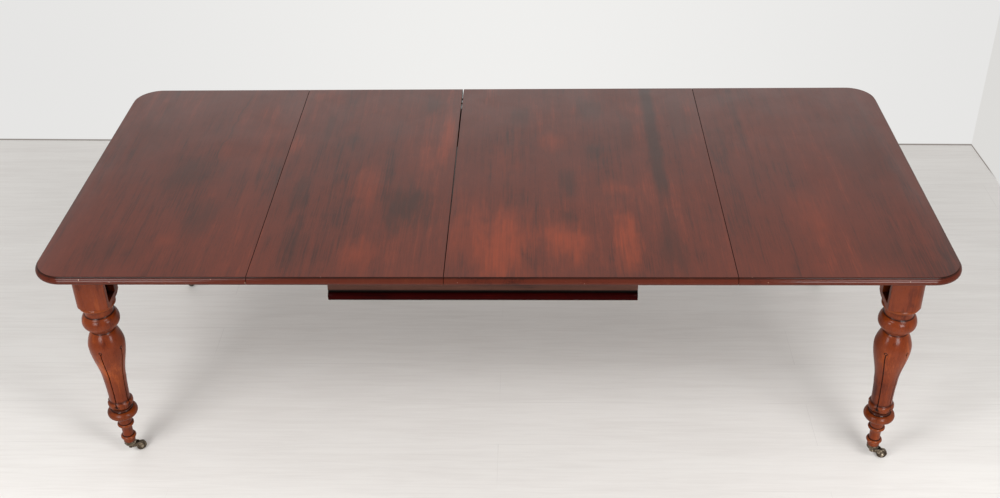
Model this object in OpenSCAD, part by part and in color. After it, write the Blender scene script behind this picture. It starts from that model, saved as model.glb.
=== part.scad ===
// Extending dining table: two end frames slide on wooden bearers under a
// fixed centre frame, and two loose leaves lie between the end boards.
// X runs along the table, Y from front to back, Z up from the floor.
// The origin is on the floor under the middle of the open top.

/* [Tabletop] */
// Height of the tabletop above the floor
table_h = 730; // [700:5:780]
// Width of the tabletop, front to back
table_w = 1084; // [1030:2:1160]
// Thickness of the boards
top_t = 24; // [21:0.5:30]
// Plan radius of the four outer corners
corner_r = 88; // [50:2:110]
// Length of the left end board
left_len = 577; // [540:1:640]
// Length of the narrow leaf
narrow_len = 511; // [460:1:540]
// Length of the wide leaf
wide_len = 754; // [720:1:800]
// Length of the right end board
right_len = 585; // [540:1:640]
// Fine gap between an end board and its neighbour
seam = 0.5; // [0.3:0.1:1]
// Gap between the two leaves at the front edge
leaf_gap_front = 0.6; // [0.4:0.1:2]
// Gap between the two leaves at the back edge
leaf_gap_back = 3.4; // [0.4:0.1:5]

/* [Edge moulding] */
// How far the raised top surface stays in from the nose
quirk_in = 8; // [5:0.5:9]
// Depth from the top surface to the crown of the moulding
quirk_drop = 2.5; // [1.5:0.5:4]
// Radius of the lower round
nose_low_r = 9; // [6:0.5:10]

/* [Legs] */
// Distance from a board's end to the leg's axis
leg_in_x = 120; // [110:1:160]
// Distance from a board's long edge to the leg's axis
leg_in_y = 125; // [115:1:160]
// Width of the square block
block_w = 96; // [90:1:104]
// Height of the square block
block_h = 140; // [134:1:150]
// Radius of the block's outermost corner
block_corner_r = 32; // [10:1:36]
// Radius of the turned bead under the block
rim_r = 50.5; // [49:0.5:52]
// Section radius of that bead
rim_b = 6; // [4:0.5:7]
// Smallest radius of the cove between bead and ring
cove_r = 38.5; // [36:0.5:40]
// Height of the cove's middle
cove_z = 541; // [538:1:543]
// Thickness of the cheek in front of the apron housing
cheek_t = 14; // [10:0.5:18]
// Depth of the apron housing into the block
housing_depth = 22; // [16:1:26]
// Width of the apron housing, back from the cheek
housing_w = 54; // [40:1:70]
// Largest radius of the ring below the block
ring_r = 51.5; // [50:0.5:54]
// Height of the ring's middle
ring_z = 504; // [502:1:506]
// Depth of the ring's section
ring_in = 17.5; // [14:0.5:19]
// Height of the ring above its widest place
ring_up = 27.5; // [24:0.5:29]
// Height of the ring below its widest place
ring_low = 21; // [17:0.5:22]
// Radius of the neck between ring and bulb
neck_r = 31; // [28:0.5:33]
// Height of the neck's middle
neck_z = 478; // [475:1:479]
// Largest radius of the bulb
bulb_r = 50.4; // [47:0.2:53]
// Height of the bulb's widest place
bulb_z = 421; // [414:1:426]
// Radius where the long taper ends
taper_r = 32.2; // [30:0.2:34]
// Height where the long taper ends
taper_z = 294; // [284:1:300]
// Radius just above the lobed collar
ankle_r = 29.2; // [27:0.2:31]
// Height of the ankle
ankle_z = 223; // [220:1:230]
// Largest radius of the lobed collar
lobe_r = 36.2; // [33:0.2:39]
// Height of the lobed collar
lobe_z = 204.5; // [202:0.5:207]
// Radius of the waist under the collar
waist_r = 30; // [28:0.5:32]
// Height of the waist
waist_z = 192.5; // [190:0.5:194]
// Largest radius of the knop
knop_r = 43.2; // [41:0.2:47]
// Height of the knop's middle
knop_z = 168; // [164:1:169]
// Section radius of the knop
knop_b = 13; // [11:0.5:15]
// Radius of the short neck below the knop
throat_r = 18.6; // [16:0.2:20]
// Largest radius of the bead
bead_r = 24; // [22.5:0.5:27]
// Height of the bead's middle
bead_z = 119.5; // [117:0.5:122]
// Section radius of the bead
bead_b = 5; // [3:0.5:6]
// Radius of the slim shaft above the foot
shaft_r = 15.4; // [13:0.2:17]
// Largest radius of the foot collar
foot_r = 22.2; // [20:0.2:25]
// Height of the foot collar's middle
foot_z = 71; // [68:1:73]
// Section radius of the foot collar
foot_b = 6; // [5:0.5:7]
// Number of carved flutes round a leg
flutes = 5; // [4:1:8]
// Width of a flute
flute_w = 2.6; // [1.5:0.1:4]
// Depth of a flute
flute_d = 3; // [1.5:0.1:4]
// Outer radius of the drilled ring at the head of a flute
eye_r = 5; // [3.5:0.5:6]
// Direction of the first flute: front left leg
flute_turn_fl = -94; // [-180:1:180]
// Direction of the first flute: front right leg
flute_turn_fr = -125; // [-180:1:180]

/* [Rails and aprons] */
// Gap between the boards and the moving timbers under them
top_clear = 0.5; // [0.3:0.1:1]
// Thickness of the apron boards
apron_t = 22; // [18:0.5:26]
// Height of an apron
apron_h = 117; // [110:1:122]
// How far a closed apron's ends enter the leg housings
apron_entry = 3; // [1:0.5:8]
// Running gap between an apron and the cheeks
cheek_clear = 1; // [0.5:0.1:2]
// Offset of the centre frame from the middle of the open table
frame_shift = -31.25; // [-60:0.25:0]
// Height of the rounded lower moulding
mould_h = 25; // [20:1:30]
// Projection of the rounded lower moulding
mould_p = 9; // [6:0.5:11]
// Height of the dark quirk above the moulding
quirk_h = 4; // [2:0.5:6]
// Depth of that quirk
quirk_d = 4; // [2:0.5:6]
// Thickness of the end rails
end_rail_t = 24; // [20:1:28]
// How far an end rail's moulding stays behind the block's face
end_rail_in = 2; // [1:0.5:6]
// Thickness of the end rail's tenons
tenon_t = 10; // [8:0.5:14]
// Length of the end rail's tenons
tenon_len = 26; // [16:1:32]
// Shoulder above and below a tenon
tenon_shoulder = 16; // [10:1:24]
// Clearance round a tenon
tenon_clear = 0.2; // [0.1:0.05:0.4]

/* [Bearers] */
// Width of a sliding bearer
bearer_w = 32; // [28:1:38]
// Height of a sliding bearer
bearer_h = 62; // [56:1:66]
// Side gap between neighbouring bearers
bearer_gap = 1; // [0.5:0.1:2]
// Gap between a bearer's outer face and the leg blocks
leg_clear = 6; // [4:0.5:10]
// Gap between a closed bearer's end and the far end rail
bearer_end_gap = 15; // [8:1:30]
// Height of the tongue on an outer bearer
tongue_h = 10; // [8:0.5:12]
// Projection of the tongue
tongue_d = 8; // [6:0.5:9]
// Clearance between tongue and groove
tongue_clear = 0.5; // [0.3:0.1:1]
// Height of the tongue above the bearer's lower edge
tongue_z = 40; // [36:1:44]
// Radius of a stop peg
peg_r = 5; // [4:0.5:6]
// Height of the stop pegs above the bearer's lower edge
peg_z = 17; // [14:1:20]
// Projection of a stop peg from the centre bearer
peg_out = 6; // [4:0.5:7]
// Distance of a stop peg from the centre bearer's end
peg_in = 22; // [16:1:40]
// Height of the cross rails
cross_h = 32; // [28:1:36]
// Width of the cross rails
cross_w = 60; // [44:1:80]
// Distance between the centre frame's two cross rails
cross_pitch = 440; // [360:5:480]
// Distance from an end rail's inner face to the end frame's cross rail
end_cross_in = 90; // [60:5:130]
// Gap between a cross rail and a bearer that slides over it
cross_clear = 1; // [0.5:0.1:2]
// Side of the triangular glue blocks
glue_side = 28; // [20:1:36]
// Length of a glue block
glue_len = 90; // [50:5:120]

/* [Screws] */
// Radius of a wood screw's shank
screw_r = 2.2; // [1.8:0.1:3]
// Length of a wood screw
screw_len = 48; // [40:1:54]
// Radius of a wood screw's head
screw_head_r = 4.4; // [3.6:0.1:5.5]

/* [Leaf forks] */
// Distance from the long edge to the middle of a fork
fork_in = 40; // [32:1:56]
// Distance between a fork's prongs
fork_pitch = 30; // [24:1:36]
// Radius of a prong
prong_r = 3; // [2.5:0.1:3.5]
// Running gap round a prong
prong_clear = 0.1; // [0.05:0.05:0.3]
// Reach of a fork to each side of the seam
fork_reach = 36; // [28:1:46]
// Length of a fork plate along the prongs
plate_len = 24; // [16:1:30]
// Thickness of a fork plate
plate_t = 10; // [9:0.5:14]
// Width of a fork plate across the prongs
plate_w = 46; // [42:1:56]
// Distance from the seam to a fork plate
plate_gap = 6; // [3:0.5:10]

/* [Castors] */
// Radius of a castor wheel
wheel_r = 15; // [13:0.5:17]
// Width of a castor wheel
wheel_w = 13; // [10:0.5:16]
// Distance from the swivel's axis to the wheel's axis
trail = 30; // [28:0.5:36]
// Height of the foot's underside, where the castor is screwed on
castor_h = 52; // [49:0.5:54]
// Radius of the castor's cup
cup_r = 17; // [14:0.5:19]
// Height of the castor's cup
cup_h = 14; // [12:0.5:15]
// Radius of the swivel pin
pin_r = 3.5; // [3:0.1:4.5]
// Running gap round the swivel pin
pin_clear = 0.08; // [0.03:0.01:0.1]
// Radius of the horn's boss
boss_r = 8; // [7:0.5:10]
// Thickness of the horn's cheeks
horn_t = 2.6; // [2:0.2:4]
// Gap between the wheel and a cheek
wheel_gap = 0.5; // [0.3:0.1:1]
// Radius of the wheel's axle
axle_r = 2.4; // [2:0.1:3]
// Running gap round the axle
axle_clear = 0.06; // [0.03:0.01:0.1]
// Length of the screw that holds the castor in the leg
spike_len = 30; // [20:1:36]
// Radius of that screw
spike_r = 4; // [3:0.1:5]
// Direction in which each castor trails: front left, front right, back left, back right
castor_turn = [38, 0, 152, 64];

/* [Hidden] */
$fn = 64;
eps = 0.01;

// Along the table
leaf_gap = (leaf_gap_front + leaf_gap_back) / 2;
table_len = left_len + narrow_len + wide_len + right_len + leaf_gap + 2 * seam;
half_len = table_len / 2;
half_w = table_w / 2;
left_seam_x = -half_len + left_len;
leaf_seam_x = left_seam_x + seam + narrow_len + leaf_gap / 2;
right_seam_x = half_len - right_len;
leg_x = half_len - leg_in_x;
leg_y = half_w - leg_in_y;
block_in_x = leg_x - block_w / 2;      // inner face of a block, along the table
block_in_y = leg_y - block_w / 2;      // inner face of a block, across the table

// Travel of the two ends between the open and the closed table
travel = narrow_len + wide_len + leaf_gap + seam;
closed_gap = 2 * block_in_x - travel;
apron_len = closed_gap + 2 * apron_entry;
left_travel = block_in_x + frame_shift - closed_gap / 2;
right_travel = travel - left_travel;

// Heights
top_z = table_h - top_t;
rail_top = top_z - top_clear;
block_z = top_z - block_h;
apron_z = top_z - apron_h;
housing_z = apron_z - 5;
bearer_z = rail_top - bearer_h;
cross_z = bearer_z - cross_clear - cross_h;

// Across the table, as distances from the middle
apron_face_y = half_w - leg_in_y + block_w / 2 - cheek_t - cheek_clear - mould_p;
apron_in_y = apron_face_y - apron_t;
outer_bearer_y = block_in_y - leg_clear;
centre_bearer_y = outer_bearer_y - bearer_w - bearer_gap;
inner_bearer_y = centre_bearer_y - bearer_w - bearer_gap;

// Along the table, under it
end_rail_out_x = leg_x + block_w / 2 - end_rail_in - mould_p;
end_rail_in_x = end_rail_out_x - end_rail_t;
closed_clear = 2 * end_rail_in_x - travel;
bearer_len = closed_clear - bearer_end_gap;
closed_mid = frame_shift;
end_cross_x = end_rail_in_x - end_cross_in - cross_w / 2;
centre_cross_x = [closed_mid - cross_pitch / 2, closed_mid + cross_pitch / 2];
right_peg_x = closed_mid + bearer_len / 2 - peg_in;
left_peg_x = closed_mid - bearer_len / 2 + peg_in;
peg_seat = 12;
tenon_x = end_rail_in_x + (end_rail_t - tenon_t) / 2;
glue_pitch = 160;
prong_z = top_z - plate_t / 2;
rim_z = block_z - rim_b * 0.9;

// Castors
wheel_z = wheel_r;
pin_z = castor_h - cup_h;
boss_z = wheel_r + 10;
boss_gap = 0.3;
pin_head_h = 2;

wood = [0.36, 0.16, 0.09];
wood_red = [0.42, 0.17, 0.1];
wood_leg = [0.45, 0.2, 0.1];
wood_under = [0.5, 0.34, 0.22];
brass = [0.45, 0.38, 0.22];
steel = [0.45, 0.44, 0.42];

// ---- shared shapes ----

// Mirror a shape that is drawn on the right or back to the side asked for
module on_side(sx, sy) {
    mirror([sx < 0 ? 1 : 0, 0, 0]) mirror([0, sy < 0 ? 1 : 0, 0]) children();
}

// Section of the boards' moulded edge: the nose tip is at x = 0, the underside at y = 0
module nose2d(band) {
    crown_r = top_t - quirk_drop - nose_low_r;
    intersection() {
        translate([-band, 0]) square([band, top_t]);
        union() {
            intersection() {
                translate([-crown_r, nose_low_r]) circle(crown_r);
                translate([-crown_r, nose_low_r]) square(crown_r);
            }
            intersection() {
                translate([-nose_low_r, nose_low_r]) circle(nose_low_r);
                translate([-nose_low_r, 0]) square(nose_low_r);
            }
            translate([-band, 0]) square([band - nose_low_r, nose_low_r]);
            translate([-band, nose_low_r - eps]) square([band - crown_r, crown_r]);
        }
    }
}

// Straight run of the moulded edge along +X, from x0 to x1, at the back (+Y)
module nose_run(x0, x1) {
    translate([x0, half_w, top_z]) rotate([90, 0, 90])
        linear_extrude(x1 - x0) nose2d(nose_band);
}
nose_band = quirk_in + 8;

// A loose leaf between x0 and x1
module leaf_board(x0, x1) {
    difference() {
        union() {
            translate([x0, -half_w + quirk_in, top_z])
                cube([x1 - x0, table_w - 2 * quirk_in, top_t]);
            nose_run(x0, x1);
            mirror([0, 1, 0]) nose_run(x0, x1);
        }
        leaf_gap_wedge();
    }
}

// The tapering gap between the two leaves
module leaf_gap_wedge() {
    past = 5;
    slope = (leaf_gap_back - leaf_gap_front) / table_w / 2;
    front = leaf_gap_front / 2 - slope * past;
    back = leaf_gap_back / 2 + slope * past;
    translate([leaf_seam_x, 0, top_z - past])
        linear_extrude(top_t + 2 * past)
            polygon([[-front, -half_w - past], [front, -half_w - past],
                     [back, half_w + past], [-back, half_w + past]]);
}

// An end board, drawn as the right end, with its seam at x = half_len - len
module end_board(len) {
    x0 = half_len - len;
    straight_y = half_w - corner_r;
    // raised top surface and everything below it
    translate([0, 0, top_z]) linear_extrude(top_t) {
        in_r = corner_r - quirk_in;
        translate([x0, -half_w + quirk_in]) square([len - corner_r, table_w - 2 * quirk_in]);
        translate([x0, -straight_y]) square([len - quirk_in, 2 * straight_y]);
        for (s = [-1, 1]) translate([half_len - corner_r, s * straight_y]) circle(in_r);
    }
    for (s = [0, 1]) mirror([0, s, 0]) {
        nose_run(x0, half_len - corner_r);
        translate([half_len - corner_r, straight_y, top_z])
            rotate_extrude(angle = 90) translate([corner_r, 0]) nose2d(nose_band);
    }
    translate([half_len, straight_y, top_z]) rotate([90, 0, 0])
        linear_extrude(2 * straight_y) nose2d(nose_band);
}

// Rounded lower moulding, in section: the board's face is at x = 0, its lower edge at y = 0
module mould2d() {
    arc_r = (mould_h * mould_h / 4 + mould_p * mould_p) / (2 * mould_p);
    intersection() {
        square([mould_p, mould_h]);
        translate([mould_p - arc_r, mould_h / 2]) circle(arc_r);
    }
}

// A rail with the dark quirk above its moulding: outer face at y = 0, length along X
module quirked_rail(len, t, h) {
    difference() {
        translate([-len / 2, -t, 0]) cube([len, t, h]);
        translate([-len / 2 - 1, -quirk_d, mould_h]) cube([len + 2, quirk_d + 1, quirk_h]);
    }
}

// Countersunk wood screw driven up from z = 0
module screw_up(len, r, head_r) {
    cylinder(h = len, r = r, $fn = 24);
    cylinder(h = head_r - r, r1 = head_r, r2 = r, $fn = 24);
}

// ---- legs ----

function bezier(p, t) =
    pow(1 - t, 3) * p[0] + 3 * pow(1 - t, 2) * t * p[1]
    + 3 * (1 - t) * t * t * p[2] + pow(t, 3) * p[3];
function curve(p, n) = [for (i = [0:n - 1]) bezier(p, i / n)];

// Outline of the turned leg from the neck under the ring to the collar's waist, as [radius, height]
function vase_points() = concat(
    curve([[neck_r + 2, neck_z - 7.5], [neck_r + 6, neck_z - 9],
           [bulb_r, bulb_z + 17], [bulb_r, bulb_z]], 9),
    curve([[bulb_r, bulb_z], [bulb_r, bulb_z - 43],
           [taper_r, taper_z + 46], [taper_r, taper_z]], 10),
    curve([[taper_r, taper_z], [taper_r - 2, taper_z - 20],
           [ankle_r, ankle_z + 22], [ankle_r, ankle_z]], 5),
    curve([[ankle_r, ankle_z], [ankle_r, lobe_z + 8],
           [lobe_r, lobe_z + 11], [lobe_r, lobe_z]], 6),
    curve([[lobe_r, lobe_z], [lobe_r, lobe_z - 6.5],
           [waist_r + 3, waist_z + 1], [waist_r, waist_z]], 4));

// Outline of the big ring between the cove above it and the neck below it
function ring_points() = concat(
    [for (a = [70:-10:0]) [ring_r - ring_in * (1 - cos(a)), ring_z + ring_up * sin(a)]],
    [for (a = [10:10:80]) [ring_r - ring_in * (1 - cos(a)), ring_z - ring_low * sin(a)]]);

// The same outline moved towards the axis by a flute's depth, down to a flute's end
function flute_points(end_z) =
    [for (p = vase_points()) if (p[1] <= bulb_z && p[1] > end_z) [p[0] - flute_d, p[1]]];

module ring2d(r, z, b) {
    translate([r - b, z]) circle(b);
    translate([0, z - b]) square([r - b, 2 * b]);
}

module turned2d() {
    ring_top = ring_points()[0];
    ring_foot = [ring_r - ring_in, ring_z - ring_low];
    knop_top = [knop_r - knop_b, knop_z + knop_b - eps];
    polygon([[0, block_z + 1], [rim_r - rim_b - 1, block_z + 1], [rim_r - rim_b - 1, rim_z], [0, rim_z]]);
    ring2d(rim_r, rim_z, rim_b);
    polygon(concat([[0, rim_z]],
        curve([[rim_r - rim_b + 1, rim_z - rim_b + 0.5], [cove_r + 2, rim_z - rim_b - 1.5],
               [cove_r, cove_z + 6], [cove_r, cove_z]], 5),
        curve([[cove_r, cove_z], [cove_r, cove_z - 5],
               [ring_top[0] - 1.5, ring_top[1] + 3], ring_top], 4),
        ring_points(),
        curve([ring_foot, [neck_r, ring_foot[1] - 1], [neck_r, neck_z - 3],
               [neck_r + 2, neck_z - 7.5]], 4),
        vase_points(),
        curve([[waist_r, waist_z], [waist_r - 3, waist_z - 3.5],
               [waist_r - 3, knop_top[1] + 4], knop_top], 4),
        [[knop_top[0], knop_top[1] - 1], [0, knop_top[1] - 1]]));
    ring2d(knop_r, knop_z, knop_b);
    polygon([[0, knop_z], [knop_r - knop_b, knop_z - knop_b + eps],
             [throat_r, knop_z - knop_b - 4], [throat_r, bead_z], [0, bead_z]]);
    ring2d(bead_r, bead_z, bead_b);
    polygon(concat([[0, bead_z], [bead_r - bead_b, bead_z - bead_b + eps]],
        curve([[bead_r - bead_b - 1, bead_z - bead_b], [shaft_r, bead_z - 14],
               [shaft_r, bead_z - 16], [shaft_r, bead_z - 25]], 5),
        curve([[shaft_r, bead_z - 25], [shaft_r, foot_z + 18],
               [shaft_r, foot_z + 14], [foot_r - foot_b, foot_z + foot_b - 1]], 5),
        [[foot_r - foot_b, foot_z + foot_b - 1], [0, foot_z]]));
    ring2d(foot_r, foot_z, foot_b);
    polygon([[0, foot_z], [foot_r - foot_b, foot_z - foot_b + eps],
             [cup_r + 1, castor_h + 6], [cup_r - 1, castor_h], [0, castor_h]]);
}

// One flute with its drilled ring, cut on the +X side
module flute_cut() {
    far = bulb_r + 10;
    end_z = waist_z + 3.4;
    rotate([90, 0, 0]) linear_extrude(flute_w, center = true)
        polygon(concat([[far, bulb_z]], flute_points(end_z),
                       [[waist_r - flute_d + 1, end_z], [far, end_z]]));
    translate([bulb_r - flute_d * 0.6, 0, bulb_z - eye_r + 1]) rotate([0, 90, 0])
        difference() {
            cylinder(h = 10, r = eye_r, $fn = 32);
            translate([0, 0, -1]) cylinder(h = 12, r = eye_r * 0.55, $fn = 32);
        }
}

// A whole leg, drawn as the right back one
module leg(turn) {
    mortise_h = apron_h - 2 * tenon_shoulder;
    color(wood_leg) difference() {
        translate([leg_x, leg_y, 0]) difference() {
            union() {
                rotate_extrude($fn = 96) turned2d();
                leg_block();
            }
            for (i = [0:flutes - 1]) rotate(turn + i * 360 / flutes) flute_cut();
            translate([0, 0, castor_h - 1])
                cylinder(h = spike_len + 2, r = spike_r + 0.1, $fn = 32);
        }
        // housing for the apron's end, behind the outer cheek and open at the top
        translate([block_in_x - 1, block_in_y + block_w - cheek_t - housing_w, housing_z])
            cube([housing_depth + 1, housing_w, top_z - housing_z + 1]);
        // mortise for the end rail
        translate([tenon_x - tenon_clear, block_in_y - 1, apron_z + tenon_shoulder - tenon_clear])
            cube([tenon_t + 2 * tenon_clear, tenon_len + 1 + tenon_clear,
                  mortise_h + 2 * tenon_clear]);
    }
}

// Square block whose lower corners are turned away into round shoulders
module leg_block() {
    far = block_w * 0.75;
    intersection() {
        translate([-block_w / 2, -block_w / 2, block_z]) linear_extrude(block_h) block2d();
        rotate_extrude($fn = 96)
            polygon([[0, block_z], [rim_r - 1, block_z], [far * 0.8, block_z + 4],
                     [far * 0.92, block_z + 12], [far, block_z + 24], [far, top_z], [0, top_z]]);
    }
}

module block2d() {
    difference() {
        square(block_w);
        translate([block_w - block_corner_r, block_w - block_corner_r]) difference() {
            square(block_corner_r + 1);
            circle(block_corner_r);
        }
    }
}

// ---- end frames, drawn as the right one ----

module end_rail() {
    color(wood) {
        translate([end_rail_out_x, 0, apron_z]) rotate(-90)
            quirked_rail(2 * block_in_y, end_rail_t, apron_h);
        for (s = [0, 1]) mirror([0, s, 0])
            translate([tenon_x, block_in_y - eps, apron_z + tenon_shoulder])
                cube([tenon_t, tenon_len, apron_h - 2 * tenon_shoulder]);
    }
}

module end_moulding() {
    color(wood_red) translate([end_rail_out_x, block_in_y, apron_z]) rotate([90, 0, 0])
        linear_extrude(2 * block_in_y) mould2d();
}

// Tongue along the side of a bearer whose face is at y; it points the way of dir
module tongue(x0, y, dir) {
    translate([x0, dir > 0 ? y - eps : y - tongue_d, bearer_z + tongue_z])
        cube([bearer_len, tongue_d + eps, tongue_h]);
}

// Groove of the centre bearer that takes such a tongue
module groove(x0, y, dir) {
    d = tongue_d - bearer_gap + tongue_clear;
    translate([x0 - 1, dir > 0 ? y - eps : y - d, bearer_z + tongue_z - tongue_clear])
        cube([bearer_len + 2, d + eps, tongue_h + 2 * tongue_clear]);
}

// Slot in which a stop peg runs, from x0 for the length of the travel
module peg_slot(x0, y, dir, run) {
    r = peg_r + tongue_clear;
    d = peg_out - bearer_gap + tongue_clear;
    translate([x0 - r, dir > 0 ? y - eps : y - d, bearer_z + peg_z - r])
        cube([run + 2 * r, d + eps, 2 * r]);
}

// Holes up into a bearer for the two screws of a cross rail at x
module cross_screw_holes(x, y_out) {
    cross_screws(x, y_out) screw_up(screw_len + 1, screw_r + 0.1, screw_head_r + 0.1);
}

// The two screws of a cross rail at x under a bearer whose outer face is at y_out
module cross_screws(x, y_out) {
    for (s = [-1, 1]) translate([x + s * cross_w / 4, y_out - bearer_w / 2, cross_z])
        children();
}

// Bearer of the right end frame, drawn at the back
module right_bearer() {
    x0 = end_rail_in_x - bearer_len;
    color(wood_under) difference() {
        union() {
            translate([x0, inner_bearer_y - bearer_w, bearer_z])
                cube([bearer_len, bearer_w, bearer_h]);
            tongue(x0, inner_bearer_y, 1);
        }
        peg_slot(right_peg_x, inner_bearer_y, -1, right_travel);
        cross_screw_holes(end_cross_x, inner_bearer_y);
    }
}

// Bearer of the left end frame, drawn at the back
module left_bearer() {
    x0 = -end_rail_in_x;
    y_in = outer_bearer_y - bearer_w;
    color(wood_under) difference() {
        union() {
            translate([x0, y_in, bearer_z]) cube([bearer_len, bearer_w, bearer_h]);
            tongue(x0, y_in, -1);
        }
        peg_slot(left_peg_x - left_travel, y_in, 1, left_travel);
        cross_screw_holes(-end_cross_x, outer_bearer_y);
    }
}

// A cross rail at x, half_y long to each side, with pads under the bearers it carries
module cross_rail(x, half_y, y_out) {
    color(wood_under) difference() {
        union() {
            translate([x - cross_w / 2, -half_y, cross_z]) cube([cross_w, 2 * half_y, cross_h]);
            for (s = [0, 1]) mirror([0, s, 0])
                translate([x - cross_w / 2, y_out - bearer_w, cross_z + cross_h - eps])
                    cube([cross_w, bearer_w, cross_clear + eps]);
        }
        for (s = [0, 1]) mirror([0, s, 0]) cross_screw_holes(x, y_out);
    }
}

// Triangular blocks in the corner of rail and board
module glue_blocks(x, dir) {
    color(wood_under) for (y = [-glue_pitch, 0, glue_pitch])
        translate([x, y + glue_len / 2, top_z]) rotate([90, 0, 0])
            linear_extrude(glue_len)
                polygon([[0, 0], [dir * glue_side, 0], [0, -glue_side]]);
}

// ---- centre frame, drawn at the back ----

module apron() {
    color(wood) translate([closed_mid, apron_face_y, apron_z]) mirror([1, 0, 0])
        quirked_rail(apron_len, apron_t, apron_h - top_clear);
}

module apron_moulding() {
    color(wood_red) translate([closed_mid - apron_len / 2, apron_face_y, apron_z])
        rotate([90, 0, 90]) linear_extrude(apron_len) mould2d();
}

module centre_bearer() {
    x0 = closed_mid - bearer_len / 2;
    color(wood_under) difference() {
        translate([x0, centre_bearer_y - bearer_w, bearer_z])
            cube([bearer_len, bearer_w, bearer_h]);
        groove(x0, centre_bearer_y, -1);
        groove(x0, centre_bearer_y - bearer_w, 1);
        peg_at(left_peg_x, 1) cylinder(h = peg_seat + 1, r = peg_r);
        peg_at(right_peg_x, -1) cylinder(h = peg_seat + 1, r = peg_r);
        for (x = centre_cross_x) cross_screw_holes(x, centre_bearer_y);
    }
}

// Place of a stop peg in the back centre bearer, its axis pointing out of the bearer
module peg_at(x, dir) {
    y = dir > 0 ? centre_bearer_y - peg_seat : centre_bearer_y - bearer_w + peg_seat;
    translate([x, y, bearer_z + peg_z]) rotate([-90 * dir, 0, 0]) children();
}

module pegs() {
    color(wood_leg) for (s = [0, 1]) mirror([0, s, 0]) {
        peg_at(left_peg_x, 1) cylinder(h = peg_seat + peg_out, r = peg_r);
        peg_at(right_peg_x, -1) cylinder(h = peg_seat + peg_out, r = peg_r);
    }
}

// Screws of one frame: cross rails at each x of xs under the bearers at y_out
module frame_screws(xs, y_out) {
    color(steel) for (s = [0, 1]) mirror([0, s, 0])
        for (x = xs) cross_screws(x, y_out) screw_up(screw_len, screw_r, screw_head_r);
}

// ---- leaf forks ----

// Prongs of a fork at the back, along X, from x0 to x1
module prongs(x0, x1, r) {
    for (s = [-1, 1]) translate([x0, half_w - fork_in + s * fork_pitch / 2, prong_z])
        rotate([0, 90, 0]) cylinder(h = x1 - x0, r = r, $fn = 32);
}

module forks() {
    x0 = leaf_seam_x - fork_reach;
    x1 = leaf_seam_x + fork_reach;
    color(brass) for (s = [0, 1]) mirror([0, s, 0]) {
        prongs(x0, x1, prong_r);
        translate([x0, half_w - fork_in - fork_pitch / 2, prong_z]) rotate([-90, 0, 0])
            cylinder(h = fork_pitch, r = prong_r, $fn = 32);
        for (s2 = [-1, 1])
            translate([x0, half_w - fork_in + s2 * fork_pitch / 2, prong_z]) sphere(prong_r, $fn = 32);
    }
}

module fork_plates(x) {
    color(wood_under) for (s = [0, 1]) mirror([0, s, 0]) difference() {
        translate([x, half_w - fork_in - plate_w / 2, top_z - plate_t])
            cube([plate_len, plate_w, plate_t]);
        prongs(x - 1, x + plate_len + 1, prong_r + prong_clear);
    }
}

// ---- castors, drawn with the swivel's axis at the origin and the wheel on +X ----

module castor_cup() {
    color(brass) {
        difference() {
            union() {
                translate([0, 0, pin_z]) cylinder(h = 2.5, r = cup_r - 2.5);
                translate([0, 0, pin_z + 2]) cylinder(h = cup_h - 2, r = cup_r);
            }
            translate([0, 0, pin_z + 3]) cylinder(h = cup_h, r = cup_r - 2.5);
        }
        translate([0, 0, pin_z + 2.5]) cylinder(h = cup_h - 2.5, r = cup_r - 4);
        translate([0, 0, castor_h - 1]) cylinder(h = spike_len + 1, r = spike_r, $fn = 32);
        translate([0, 0, boss_z - 2]) cylinder(h = pin_z - boss_z + 3, r = pin_r, $fn = 32);
        translate([0, 0, boss_z - boss_gap - pin_head_h])
            cylinder(h = pin_head_h, r = pin_r + 2, $fn = 32);
    }
}

// Outline of a horn cheek, seen from the side: x along the trail, y up
module cheek2d() {
    top = pin_z - boss_gap;
    translate([trail, wheel_z]) circle(6.5, $fn = 40);
    polygon([[0, boss_z + 1], [11, boss_z], [trail - 6, wheel_z - 2.5], [trail, wheel_z - 6],
             [trail + 6, wheel_z + 2.5], [21, top - 4], [14, top], [0, top]]);
}

module castor_horn() {
    side = wheel_w / 2 + wheel_gap;
    top = pin_z - boss_gap;
    color(brass) difference() {
        union() {
            translate([0, 0, boss_z]) cylinder(h = top - boss_z, r = boss_r);
            intersection() {
                translate([0, -side - horn_t, boss_z]) cube([13, 2 * (side + horn_t), top - boss_z]);
                translate([6, 0, boss_z]) cylinder(h = top - boss_z, r = side + horn_t + 2);
            }
            for (s = [0, 1]) mirror([0, s, 0])
                translate([0, side + horn_t, 0]) rotate([90, 0, 0])
                    linear_extrude(horn_t) intersection() {
                        cheek2d();
                        translate([3, 0]) square([trail + 10, castor_h]);
                    }
        }
        translate([0, 0, boss_z - 1]) cylinder(h = top - boss_z + 2, r = pin_r + pin_clear, $fn = 32);
        translate([trail, side + horn_t + 1, wheel_z]) rotate([90, 0, 0])
            cylinder(h = 2 * (side + horn_t) + 2, r = axle_r, $fn = 32);
        // clearance for the wheel's tread
        translate([trail, side, wheel_z]) rotate([90, 0, 0])
            cylinder(h = 2 * side, r = wheel_r + 1);
    }
}

module castor_axle() {
    side = wheel_w / 2 + wheel_gap + horn_t;
    color(brass) translate([trail, 0, wheel_z]) rotate([90, 0, 0]) {
        cylinder(h = 2 * side, r = axle_r, center = true, $fn = 32);
        for (s = [0, 1]) mirror([0, 0, s]) translate([0, 0, side])
            cylinder(h = 1.2, r = axle_r + 1.6, $fn = 32);
    }
}

// Half outline of a wheel, from the tread to the hub, as [radius, distance from the middle]
function wheel_half(h, r0) =
    [[wheel_r, h - 2], [wheel_r - 2, h], [wheel_r - 4, h], [wheel_r - 5, h - 1.5],
     [r0 + 4, h - 1.5], [r0 + 3, h], [r0, h]];

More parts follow.
